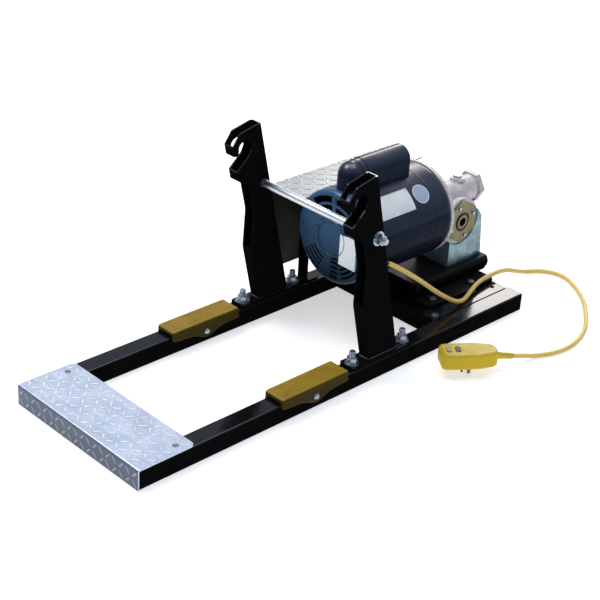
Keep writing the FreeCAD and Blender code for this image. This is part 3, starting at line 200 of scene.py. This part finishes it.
def bare_metal(name, colour, darker, rough, grain, scale, depth, edge=0.0006, shaded_faces=None,
               metal=1.0):
    """Rolled, plated or machined metal with grain and stains.

    The painted shade (axis, sign, colour) darkens the faces that look that way to the colour.
    metal is under 1 where a thin oxide scatters light."""
    made = Shader(name)
    grainy = made.noise(scale, 4, grain)
    stains = made.range(made.noise(22, 5, rough=0.6), 0.4, 0.75)
    tone = made.mix(made.range(grainy, 0.3, 0.7), darker, colour)
    tone = made.mix(made.sum(stains, 0.45, "MULTIPLY"), tone, darker)
    # painted shade: faces that look along the axis are darkened to the given colour
    if shaded_faces:
        axis, sign, shade_colour = shaded_faces
        tone = made.mix(made.facing(axis, sign), tone, shade_colour)
    made.bump(grainy, depth, 0.7, edge)
    return made.finish(colour=tone, metal=metal,
                       rough=made.range(made.noise(30, 3), 0.3, 0.7, *rough))


def plated(name, colour, darker):
    """Zinc plate: small crystals of slightly different tone."""
    made = Shader(name)
    crystals = made.cells(650)
    grey = made.add("ShaderNodeRGBToBW", {"Color": crystals}).outputs[0]
    tone = made.mix(made.range(grey, 0.1, 0.9), darker, colour)
    grime = made.range(made.noise(70, 4), 0.5, 0.8, 0.0, 0.5)
    made.bump(made.noise(500, 3), 0.00003, 0.5, 0.0005)
    return made.finish(colour=made.mix(grime, tone, darker), metal=1.0,
                       rough=made.range(grey, 0.0, 1.0, 0.22, 0.42))


def moulded(name, colour, shade, rough=(0.3, 0.5), grain=900.0, depth=0.00004, coat=0.0, skin=0.0,
            edge=0.0008, low=None, shine=(0.4, 0.4)):
    """Moulded plastic or rubber: fine grain, flow tone and scuffs; low is a tone painted on the
    flanks, painted light and shade set by which way a face looks.
    """
    made = Shader(name)
    flow = made.range(made.noise(26, 4), 0.3, 0.75)
    scuffs = made.range(made.noise(60, 6, (1, 1, 3), 0.7), 0.62, 0.75, 0.0, 0.4)
    tone = made.mix(flow, colour, shade)
    tone = made.mix(scuffs, tone, tuple(0.6 * c + 0.1 for c in colour))
    # painted light and shade: faces looking sideways or down take the low tone, faces looking up
    # keep their own
    if low:
        tone = made.mix(made.facing("Z", 1, 0.3, 0.8), low, tone)
    made.bump(made.noise(grain, 2), depth, 0.6, edge)
    return made.finish(colour=tone, coat=coat, coat_rough=0.2, skin=skin,
                       shine=made.gloss(shine),
                       rough=made.range(made.noise(48, 3), 0.3, 0.7, *rough))


# shine is (flanks, tops): painted shade, the flanks of these materials reflect less than their tops
BLACK = paint("black_enamel", (0.004, 0.004, 0.0042), (0.016, 0.014, 0.012), (0.06, 0.18),
              shine=(0.0, 0.5))
SATIN_BLACK = paint("satin_black_enamel", (0.004, 0.004, 0.0042), (0.014, 0.013, 0.012),
                    (0.4, 0.6), shine=(0.0, 0.12))
# painted shade: the navy darkens to near black towards the bottom, from 240 mm down to 130 mm
NAVY = paint("navy_enamel", (0.006, 0.011, 0.028), (0.024, 0.03, 0.045), (0.2, 0.34),
             shine=(0.03, 0.75), low=(130, 240, (0.002, 0.002, 0.003)))
# painted shade: the steel blue darkens towards the bottom, from 232 mm down to 125 mm
STEEL_BLUE = paint("steel_blue_enamel", (0.028, 0.078, 0.15), (0.06, 0.12, 0.19), (0.24, 0.38),
                   shine=(0.06, 0.5), low=(125, 232, (0.003, 0.007, 0.017)))
WHITE = paint("white_enamel", (0.84, 0.88, 0.9), (0.6, 0.62, 0.63), (0.3, 0.45))
# painted shade: the faces looking to -y, the step's front lip and its lugs, are darkened
TREAD = bare_metal("tread_aluminium", (0.67, 0.73, 0.83), (0.5, 0.57, 0.7), (0.3, 0.46),
                   (1, 6, 1), 60, 0.00005, shaded_faces=("Y", -1, (0.09, 0.11, 0.15)), metal=0.55)
LUGS = bare_metal("lug_crests", (0.74, 0.79, 0.87), (0.58, 0.65, 0.76), (0.36, 0.5),
                  (1, 1, 1), 90, 0.00004, shaded_faces=("Y", -1, (0.26, 0.3, 0.37)), metal=0.55)
# painted shade: the guard's inner wall, looking to +x, is darkened
GUARD = bare_metal("guard_aluminium", (0.52, 0.52, 0.52), (0.38, 0.39, 0.4), (0.3, 0.46),
                   (6, 1, 1), 60, 0.00005, shaded_faces=("X", 1, (0.06, 0.057, 0.048)), metal=0.7)
CAST = bare_metal("polished_casting", (0.6, 0.57, 0.58), (0.4, 0.37, 0.38), (0.4, 0.55),
                  (1, 1, 1), 120, 0.0001, 0.0016, metal=0.3)
BRACKET = bare_metal("bright_casting", (0.25, 0.37, 0.42), (0.12, 0.2, 0.24), (0.16, 0.3),
                     (1, 1, 1), 50, 0.00016, 0.0016, metal=0.7)
COVER = bare_metal("yellow_zinc", (0.24, 0.195, 0.075), (0.12, 0.115, 0.07), (0.24, 0.4),
                   (1, 1, 1), 60, 0.00008, 0.0012, metal=0.65)
MACHINED = bare_metal("turned_steel", (0.5, 0.5, 0.51), (0.24, 0.23, 0.22), (0.22, 0.36),
                      (1, 30, 1), 200, 0.00002)
SHAFT = bare_metal("oiled_steel", (0.24, 0.19, 0.17), (0.12, 0.09, 0.08), (0.25, 0.4),
                   (30, 1, 1), 120, 0.00002)
ROD = bare_metal("drawn_rod", (0.74, 0.77, 0.83), (0.6, 0.63, 0.68), (0.3, 0.4), (1, 1, 1),
                 160, 0.00001)
STAMPED = bare_metal("stamped_steel", (0.32, 0.32, 0.34), (0.12, 0.12, 0.13), (0.35, 0.5),
                     (1, 60, 1), 40, 0.0001)
COPPER = bare_metal("varnished_copper", (0.55, 0.22, 0.09), (0.22, 0.08, 0.03), (0.3, 0.5),
                    (1, 1, 1), 400, 0.0002)
BRONZE = bare_metal("hobbed_bronze", (0.66, 0.42, 0.17), (0.35, 0.2, 0.07), (0.22, 0.38),
                    (1, 1, 1), 150, 0.00004)
BRASS = bare_metal("dull_brass", (0.3, 0.23, 0.12), (0.14, 0.1, 0.05), (0.3, 0.45),
                   (1, 1, 1), 200, 0.00003)
ZINC = plated("zinc_plate", (0.5, 0.55, 0.62), (0.24, 0.27, 0.31))
# painted shade: the pads' flanks are painted darker than their tops
PAD = moulded("pad_plastic", (0.29, 0.18, 0.006), (0.2, 0.12, 0.004), (0.28, 0.44), 700, 0.00006,
              0.0, low=(0.045, 0.03, 0.003), shine=(0.04, 0.3))
LABEL = moulded("label_film", (0.62, 0.63, 0.64), (0.52, 0.54, 0.56), (0.25, 0.4), 1500, 0.00001)
PALE_BLUE = moulded("blue_film", (0.3, 0.35, 0.47), (0.25, 0.3, 0.42), (0.25, 0.4), 1500, 0.00001)
SEAL = moulded("seal_rubber", (0.018, 0.011, 0.008), (0.01, 0.007, 0.005), (0.35, 0.5))
BLACK_PLASTIC = moulded("black_plastic", (0.012, 0.012, 0.013), (0.02, 0.02, 0.02), (0.3, 0.5))
CORD = moulded("cord_rubber", (0.66, 0.47, 0.12), (0.56, 0.38, 0.085), (0.35, 0.5), 600, 0.00006,
               0.1, 0.05)
# painted light: the plug's flanks are painted lighter than its top
PLUG = moulded("plug_plastic", (0.43, 0.31, 0.02), (0.37, 0.27, 0.017), (0.25, 0.42), 900, 0.00003,
               0.0, 0.0, 0.0015, low=(0.6, 0.43, 0.022), shine=(0.1, 0.2))
GREY_BUTTON = moulded("grey_button", (0.26, 0.23, 0.11), (0.2, 0.18, 0.1))
DARK_BUTTON = moulded("dark_button", (0.02, 0.016, 0.008), (0.03, 0.026, 0.015))

FINISHES = {
    "black_paint": BLACK, "tread_sheet": TREAD, "zinc_steel": ZINC, "pad_plastic": PAD,
    "motor_paint": NAVY, "bell_paint": STEEL_BLUE, "cover_plate": WHITE, "label": LABEL,
    "machined_steel": MACHINED, "laminations": STAMPED, "copper_wire": COPPER,
    "fan_plastic": BLACK_PLASTIC, "capacitor_can": BLACK_PLASTIC, "gear_case": CAST,
    "bronze": BRONZE, "seal_rubber": SEAL, "lead_rubber": CORD, "plug_yellow": PLUG,
    "blade_brass": BRASS, "button_grey": GREY_BUTTON, "button_black": DARK_BUTTON,
}


def dress(thing, material):
    thing.data.materials.clear()
    thing.data.materials.append(material)


for part in frame["record"]["subparts"]:
    dress(nodes[part["node"]], FINISHES[part["material_slot"]])
for name, material in (("guard_plate", GUARD), ("gearbox_bracket", BRACKET),
                       ("gearbox_side_covers", COVER), ("output_shaft", SHAFT),
                       ("motor_base", SATIN_BLACK),
                       ("through_bolts", STEEL_BLUE), ("round_label", PALE_BLUE)):
    dress(nodes[name], material)


# cord -----------------------------------------------------------------------------------

LEAD_ROUTE = [
    (103, 622, 201), (103, 648, 194), (104, 688, 168), (107, 748, 124), (112, 806, 76),
    (126, 860, 41), (109, 910, 48), (98, 941, 50), (92.5, 974, 50.5), (90, 1006, 50),
    (87.5, 1036, 46), (84.5, 1060, 38.5), (81.5, 1084, 28.5), (79, 1111, 16.5), (78, 1138, 7),
    (89.5, 1167, 5), (114.5, 1185.5, 5), (145.5, 1188.5, 5), (185, 1170, 5), (220, 1146, 5),
    (250, 1118, 5), (280, 1082, 5), (309, 1043, 5), (330, 995, 5), (338, 948, 5), (332, 905, 5),
    (316, 869, 5.5), (307, 840, 12), (304, 813, 20.5), (299.4, 789.1, 27.7),
]
LEAD_DIAMETER = 9.5 * MM


def make_lead():
    """The lead and the points of its smooth line, which its strain reliefs follow."""
    curve = bpy.data.curves.new("lead", "CURVE")
    curve.dimensions = "3D"
    curve.resolution_u = 16
    spline = curve.splines.new("NURBS")
    spline.points.add(len(LEAD_ROUTE) - 1)
    for point, spot in zip(spline.points, LEAD_ROUTE):
        point.co = (*at(*spot), 1)
    spline.order_u = 3
    spline.use_endpoint_u = True
    lead = bpy.data.objects.new("lead", curve)
    bpy.context.collection.objects.link(lead)
    line = bpy.data.meshes.new_from_object(lead)
    path = [vertex.co.copy() for vertex in line.vertices]
    bpy.data.meshes.remove(line)
    curve.bevel_depth = LEAD_DIAMETER / 2
    curve.bevel_resolution = 6
    curve.use_fill_caps = True
    dress(lead, CORD)
    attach(lead, "frame")
    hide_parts("power_cord")
    return path


lead_path = make_lead()


# mesh helpers ---------------------------------------------------------------------------

def piece(name, mesh, material, body="frame", smooth=True):
    """Turns a finished bmesh into a piece that rides on a body."""
    bmesh.ops.recalc_face_normals(mesh, faces=mesh.faces)
    data = bpy.data.meshes.new(name)
    mesh.to_mesh(data)
    mesh.free()
    thing = bpy.data.objects.new(name, data)
    bpy.context.collection.objects.link(thing)
    dress(thing, material)
    if smooth:
        data.shade_smooth()
    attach(thing, body)
    return thing


def loft(mesh, rings, joined=False):
    """Skins rings of points, all of one length; the ends are capped, or joined to each other."""
    made = [[mesh.verts.new(point) for point in ring] for ring in rings]
    count = len(made[0])
    for low, high in zip(made, made[1:] + (made[:1] if joined else [])):
        for spot in range(count):
            following = (spot + 1) % count
            mesh.faces.new((low[spot], low[following], high[following], high[spot]))
    if not joined:
        mesh.faces.new(list(reversed(made[0])))
        mesh.faces.new(made[-1])


def circle(centre, along, radius, count=32):
    """Points of a circle about a direction; radius is in millimetres, or one for each point."""
    reference = Vector((1, 0, 0)) if abs(along.x) < 0.9 else UP
    across = (reference - along * reference.dot(along)).normalized()
    other = along.cross(across)
    radii = radius if isinstance(radius, list) else [radius] * count
    turns = [2 * math.pi * spot / count for spot in range(count)]
    return [centre + (across * math.cos(turn) + other * math.sin(turn)) * reach * MM
            for turn, reach in zip(turns, radii)]


def turned(mesh, start, along, outline, count=48, joined=False):
    """A turned solid: outline is a list of (distance along, radius) in millimetres."""
    loft(mesh, [circle(start + along * far * MM, along, radius, count)
                for far, radius in outline], joined)


def thread(mesh, start, along, length, radius, pitch=1.95, deep=1.0, count=24):
    """A screw thread, chamfered at both ends."""
    rows = int(length / pitch * 6)
    rings = []
    for row in range(rows + 1):
        far = length * row / rows
        limit = radius - deep + min(far, length - far)
        radii = []
        for spot in range(count):
            phase = (far / pitch - spot / count) % 1
            radii.append(min(radius - deep * abs(2 * phase - 1), limit))
        rings.append(circle(start + along * far * MM, along, radii, count))
    loft(mesh, rings)


def hexagon(mesh, start, along, across, tall):
    corner = across / math.sqrt(3)
    loft(mesh, [circle(start + along * far * MM, along, corner - cut, 6)
                for far, cut in ((0, 0), (tall - 1, 0), (tall, 1))])


def bead(mesh, start, end, radius=3.0, step=1.1):
    """A weld bead: overlapping ripples along a line."""
    along = (end - start).normalized()
    count = int((end - start).length / MM / step)
    rings = []
    for spot in range(count + 1):
        ripple = 0.82 + 0.18 * abs(math.sin(spot * 0.9)) + random.uniform(-0.03, 0.03)
        shrink = min(1.0, 0.45 + 0.25 * min(spot, count - spot))
        rings.append(circle(start.lerp(end, spot / count), along, radius * ripple * shrink, 12))
    loft(mesh, rings)


# tread ----------------------------------------------------------------------------------

def lug(mesh, centre, along, up, length=17.0, wide=4.4, tall=0.9):
    """One raised, lens-shaped bar of the tread pattern."""
    across = up.cross(along)
    outlines = ((1.0, 1.0, -0.3), (0.96, 0.86, 0.45), (0.88, 0.6, 0.85), (0.74, 0.25, 1.0))
    steps = [-1.0, -0.82, -0.5, 0.0, 0.5, 0.82, 1.0]
    rings = []
    for long_share, wide_share, high in outlines:
        side = [(step * long_share, (1 - step * step) ** 0.7 * wide_share) for step in steps]
        other = [(step, -spread) for step, spread in reversed(side[1:-1])]
        rings.append([centre + (along * step * length / 2 + across * spread * wide / 2) * MM
                      + up * high * tall * MM for step, spread in side + other])
    loft(mesh, rings)


TREAD_PITCH = 18.0
SCREW_CLEARANCE = 11.0
STEP_SCREW_X, STEP_SCREW_Y = 153, 95


def tread(mesh, corner, first, second, first_span, second_span, keep_out=()):
    """Bars at right angles to one another on a flat field."""
    up = first.cross(second)
    columns = int(first_span // TREAD_PITCH)
    rows = int(second_span // TREAD_PITCH)
    spare_first = (first_span - (columns - 1) * TREAD_PITCH) / 2
    spare_second = (second_span - (rows - 1) * TREAD_PITCH) / 2
    for column in range(columns):
        for row in range(rows):
            spot = (corner + first * (spare_first + column * TREAD_PITCH) * MM
                    + second * (spare_second + row * TREAD_PITCH) * MM)
            if any((spot - hole).length < SCREW_CLEARANCE * MM for hole in keep_out):
                continue
            sign = 1 if (column + row) % 2 else -1
            lug(mesh, spot, (first + second * sign).normalized(), up)


def make_treads():
    """The raised bars on the step's top and front, and on the guard's top and outer wall."""
    low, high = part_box("step_plate")
    screws = [at(side * STEP_SCREW_X, STEP_SCREW_Y, high.z / MM) for side in SIDES]
    mesh = bmesh.new()
    wide = (high.x - low.x) / MM
    tread(mesh, Vector((low.x, low.y + 4 * MM, high.z)), X_WAY, Y_WAY, wide, 117, screws)
    tread(mesh, Vector((low.x, low.y, low.z)), X_WAY, UP, wide, (high.z - low.z) / MM - 3)
    piece("step_tread", mesh, LUGS)
    low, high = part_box("guard_plate")
    mesh = bmesh.new()
    long_way = (high.y - low.y) / MM
    tread(mesh, Vector((low.x, low.y, high.z)), X_WAY, Y_WAY, (high.x - low.x) / MM, long_way)
    tread(mesh, Vector((low.x, high.y, low.z)), -Y_WAY, UP, long_way, (high.z - low.z) / MM - 4)
    piece("guard_tread", mesh, GUARD)


make_treads()


# fasteners ------------------------------------------------------------------------------

STUD_R = 6.35
STUD_X = 152.95
STUD_ROWS = (518, 654)
STUD_HEAD_ACROSS, STUD_HEAD_TALL = 19, 6
ROD_INNER = 139.3
POST_FRONT, POST_BACK = 550.5, 629.0
TUBE_WELD_X, TUBE_WELD_ROWS = 133.9, (995, 770)


def make_studs():
    """The four foot studs with their threads; their heads are inside the rails."""
    low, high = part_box("foot_studs")
    mesh = bmesh.new()
    for side in SIDES:
        for y in STUD_ROWS:
            foot = at(side * STUD_X, y, low.z / MM)
            hexagon(mesh, foot, UP, STUD_HEAD_ACROSS, STUD_HEAD_TALL)
            thread(mesh, foot + UP * 5 * MM, UP, (high.z - low.z) / MM - 5, STUD_R)
    studs = piece("stud_threads", mesh, ZINC, smooth=False)
    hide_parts("foot_studs")


def make_rod():
    """The tie rod: a bright bar between the posts, threaded at both ends."""
    low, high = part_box("tie_rod")
    inner, radius = ROD_INNER, (high.z - low.z) / 2 / MM
    middle = (low + high) / 2
    reach = (high.x - low.x) / 2 / MM
    mesh = bmesh.new()
    turned(mesh, middle - X_WAY * inner * MM, X_WAY,
           [(0, radius - 1), (1, radius), (2 * inner - 1, radius), (2 * inner, radius - 1)])
    bar = piece("tie_bar", mesh, ROD, smooth=False)
    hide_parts("tie_rod")
    mesh = bmesh.new()
    for side in SIDES:
        thread(mesh, middle + X_WAY * side * (inner - 1) * MM, X_WAY * side, reach - inner + 1,
               STUD_R)
    ends = piece("tie_threads", mesh, ZINC, smooth=False)
    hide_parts("tie_rod")


def make_welds():
    """Beads round the posts' feet and up the ends of the platform's tubes."""
    random.seed(11)
    mesh = bmesh.new()
    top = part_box("left_foot")[1].z / MM
    for name in ("left_post", "right_post"):
        low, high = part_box(name)
        left, right = low.x / MM, high.x / MM
        corners = [at(left, POST_FRONT, top), at(right, POST_FRONT, top),
                   at(right, POST_BACK, top), at(left, POST_BACK, top)]
        for spot in range(4):
            bead(mesh, corners[spot], corners[(spot + 1) % 4])
    for side in SIDES:
        for y in TUBE_WELD_ROWS:
            bead(mesh, at(side * TUBE_WELD_X, y, 2), at(side * TUBE_WELD_X, y, 30))
    piece("weld_beads", mesh, BLACK)


make_studs()
make_rod()
make_welds()


# rocker pads ----------------------------------------------------------------------------

PAD_FRONT, PAD_LONG, PAD_HALF = 321.0, 167.0, 24.0
PAD_TOP, PAD_UNDER, PAD_SKIRT = 50.0, 41.5, 3.0
PAD_X, PIN_Y = 152.0, 85.0
RIB_PITCH, RIB_TALL = 8.6, 2.6
ACROSS_STEPS = 60


def pad_skirt_low(y):
    """Height of the skirt's lower edge: a lobe round the pin and short ends."""
    lobe = math.exp(-((y - PIN_Y) / 24.0) ** 2)
    return 30.0 - 3.0 * math.sin(math.pi * y / PAD_LONG) - 12.5 * lobe


def pad_ring(y, middle):
    """The pad's section at a distance from its front end."""
    near = min(y, PAD_LONG - y)
    rounding = math.sqrt(max(0.0, 1 - (1 - min(near / 6.0, 1.0)) ** 2))
    half = PAD_HALF - 2.5 * (1 - rounding)
    crest = PAD_TOP + 0.8 - 4.5 * (1 - rounding)
    low = pad_skirt_low(y) + 4.0 * (1 - rounding)
    spots = [(half - PAD_SKIRT, low), (half + 0.9, low), (half + 0.9, low + 1.2),
             (half, low + 2.4), (half, crest - 5.0)]
    for step in range(ACROSS_STEPS + 1):
        x = half - 2 * half * step / ACROSS_STEPS
        shoulder = max(0.0, abs(x) - (half - 4.5)) / 4.5
        drop = 4.0 * (1 - math.sqrt(max(0.0, 1 - shoulder ** 2)))
        rib = RIB_TALL * (1 - math.sqrt(abs(math.cos(math.pi * x / RIB_PITCH))))
        spots.append((x, crest - drop - (rib if abs(x) < 2 * RIB_PITCH else 0.0)))
    spots += [(-half, crest - 5.0), (-half, low + 2.4), (-half - 0.9, low + 1.2),
              (-half - 0.9, low), (PAD_SKIRT - half, low), (PAD_SKIRT - half, PAD_UNDER),
              (half - PAD_SKIRT, PAD_UNDER)]
    return [at(middle + x, PAD_FRONT + y, z) for x, z in spots]


def make_pads():
    """The two rocker pads: rounded ribs, rolled skirts and soft ends."""
    stations = [0.0, 0.6, 1.6, 3.2, 6.0] + [10.0 + 4.9 * step for step in range(31)]
    stations += [PAD_LONG - gap for gap in (6.0, 3.2, 1.6, 0.6, 0.0)]
    for name, side in (("left", -1), ("right", 1)):
        mesh = bmesh.new()
        loft(mesh, [pad_ring(y, side * PAD_X) for y in stations])
        pad = piece(f"{name}_ribbed_pad", mesh, PAD, f"{name}_rocker")
        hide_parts(f"{name}_pad")


make_pads()


# motor details --------------------------------------------------------------------------

MOTOR_Z = 218
MOTOR_R = 94.5
SHELL_SEAMS = (627, 797)
HUB_FACE_Y = 600
NAMEPLATE_TURN, NAMEPLATE_Y = 46, 698
ROUND_LABEL_TURN, ROUND_LABEL_Y = 46.9, 774


def motor_band(mesh, y, radius, wide, tall, inward=1.5):
    """A rounded raised band about the motor's axis."""
    outline = [(0, radius - inward), (0, radius + 0.4 * tall), (0.25 * wide, radius + 0.9 * tall),
               (0.5 * wide, radius + tall), (0.75 * wide, radius + 0.9 * tall),
               (wide, radius + 0.4 * tall), (wide, radius - inward)]
    turned(mesh, at(0, y, MOTOR_Z), Y_WAY, outline, 96, True)


def make_motor_bands():
    """Crimped seams where the shell meets its two bells."""
    mesh = bmesh.new()
    for y in SHELL_SEAMS:
        motor_band(mesh, y, MOTOR_R, 3, 0.7)
    piece("shell_seams", mesh, NAVY)


def make_hub_ring():
    """The raised ring on the front bell's hub."""
    mesh = bmesh.new()
    turned(mesh, at(0, HUB_FACE_Y, MOTOR_Z), -Y_WAY,
           [(-0.5, 34), (1.2, 34.6), (2.2, 35.8), (2.2, 37), (1.2, 38.2), (-0.5, 38.8)], 80, True)
    piece("hub_ring", mesh, STEEL_BLUE)


def on_shell(angle, y, lift):
    """A point on the motor shell, lifted off it; the angle runs from +x towards +z."""
    turn = math.radians(angle)
    reach = MOTOR_R + lift
    return at(reach * math.cos(turn), y, MOTOR_Z + reach * math.sin(turn))


def rounded(half_wide, half_tall, corner, steps=6):
    """Points of a rounded rectangle about the origin, in millimetres."""
    spots = []
    for quarter, (wide, tall) in enumerate(((1, 1), (-1, 1), (-1, -1), (1, -1))):
        for step in range(steps + 1):
            turn = math.pi / 2 * (quarter + step / steps)
            spots.append((wide * (half_wide - corner) + corner * math.cos(turn),
                          tall * (half_tall - corner) + corner * math.sin(turn)))
    return spots


def shell_rim(mesh, angle, y, spots, half=0.6, lift=1.0):
    """A thin raised rim on the shell through spots (around, along), about an angle and a y."""
    rings = []
    for spot, (around, along) in enumerate(spots):
        before, after = spots[spot - 1], spots[(spot + 1) % len(spots)]
        way = Vector((after[0] - before[0], after[1] - before[1])).normalized()
        ring = []
        for side, high in ((-1, -0.3), (-1, lift), (1, lift), (1, -0.3)):
            turn = angle + math.degrees((around + way.y * side * half) / MOTOR_R)
            ring.append(on_shell(turn, y + along - way.x * side * half, high))
        rings.append(ring)
    loft(mesh, rings, True)


def make_label_rims():
    """Plain rims round the two blank labels, and the nameplate's four rivets."""
    mesh = bmesh.new()
    shell_rim(mesh, NAMEPLATE_TURN, NAMEPLATE_Y, rounded(22.4, 47.2, 3.5))
    shell_rim(mesh, ROUND_LABEL_TURN, ROUND_LABEL_Y, rounded(18.6, 18.6, 18.5, 12), 0.8, 0.9)
    for around in (-19, 19):
        for along in (-43, 43):
            angle = NAMEPLATE_TURN + math.degrees(around / MOTOR_R)
            outward = (on_shell(angle, 0, 1) - on_shell(angle, 0, 0)).normalized()
            turned(mesh, on_shell(angle, NAMEPLATE_Y + along, 0), outward,
                   [(0, 1.9), (1.2, 1.9), (1.8, 1.2), (2.0, 0.4)], 16)
    piece("label_rims", mesh, LABEL)


make_motor_bands()
make_hub_ring()
make_label_rims()


# strain reliefs -------------------------------------------------------------------------

def spots_along(path, start, end, step):
    """(point, direction) at even distances along the lead's smooth line, in millimetres."""
    made = []
    far = 0.0
    wanted = start
    for before, after in zip(path, path[1:]):
        gap = (after - before).length / MM
        while gap and wanted <= min(far + gap, end):
            made.append((before.lerp(after, (wanted - far) / gap), (after - before).normalized()))
            wanted += step
        far += gap
    return made


def make_relief(name, path, start, length, first, last, material):
    """A tapered, ribbed sleeve round the lead."""
    rings = []
    step = 0.75
    for count, (point, along) in enumerate(spots_along(path, start, start + length, step)):
        share = count * step / length
        rib = 0.55 if count % 5 < 3 and 0.08 < share < 0.92 else 0.0
        rings.append(circle(point, along, first + (last - first) * share + rib, 24))
    mesh = bmesh.new()
    loft(mesh, rings)
    return piece(name, mesh, material)


make_relief("gland_boot", lead_path, 0.0, 30.0, 7.2, 5.3, BLACK_PLASTIC)
make_relief("plug_boot", lead_path[::-1], 0.0, 24.0, 6.0, 5.2, PLUG)


# floor and light ------------------------------------------------------------------------

def make_floor():
    """A plain pale floor that glows a little, as a backdrop lit from behind does."""
    mesh = bmesh.new()
    bmesh.ops.create_grid(mesh, x_segments=2, y_segments=2, size=9)
    data = bpy.data.meshes.new("floor")
    mesh.to_mesh(data)
    mesh.free()
    floor = bpy.data.objects.new("floor", data)
    floor.location.z = -0.2 * MM
    bpy.context.collection.objects.link(floor)
    made = Shader("pale_floor")
    tone = made.mix(made.noise(2, 2), (0.62, 0.62, 0.62), (0.6, 0.6, 0.6))
    made.surface.inputs["Emission Color"].default_value = (1, 1, 1, 1)
    made.surface.inputs["Emission Strength"].default_value = 0.55
    dress(floor, made.finish(colour=tone, rough=0.9, shine=0.05))


def area_light(name, place, aim, wide, tall, power, colour):
    """A rectangular lamp; place and aim are in metres and power in watts."""
    data = bpy.data.lights.new(name, "AREA")
    data.shape = "RECTANGLE"
    data.size = wide
    data.size_y = tall
    data.energy = power
    data.color = colour
    light = bpy.data.objects.new(name, data)
    light.location = place
    light.rotation_mode = "QUATERNION"
    light.rotation_quaternion = (Vector(aim) - Vector(place)).to_track_quat("-Z", "Y")
    bpy.context.collection.objects.link(light)


def make_light():
    """A pale blue studio with a key, a broad top lamp and a warm card behind."""
    scene = bpy.context.scene
    scene.view_settings.view_transform = "Standard"
    world = bpy.data.worlds.new("studio")
    scene.world = world
    world.use_nodes = True
    background = world.node_tree.nodes["Background"]
    background.inputs["Color"].default_value = (0.72, 0.82, 1.0, 1)
    background.inputs["Strength"].default_value = 0.5
    area_light("key", (-1.7, -1.0, 3.8), (0, 0, 0), 1.8, 1.8, 105, (1.0, 0.98, 0.95))
    area_light("top", (0.2, 0.8, 3.4), (0, 0.1, 0), 2.4, 2.4, 55, (0.96, 0.98, 1.0))
    area_light("rear", (-2.1, 3.9, 2.2), (0, 0.3, 0.1), 2.0, 1.3, 60, (1.0, 0.95, 0.88))


make_floor()
make_light()
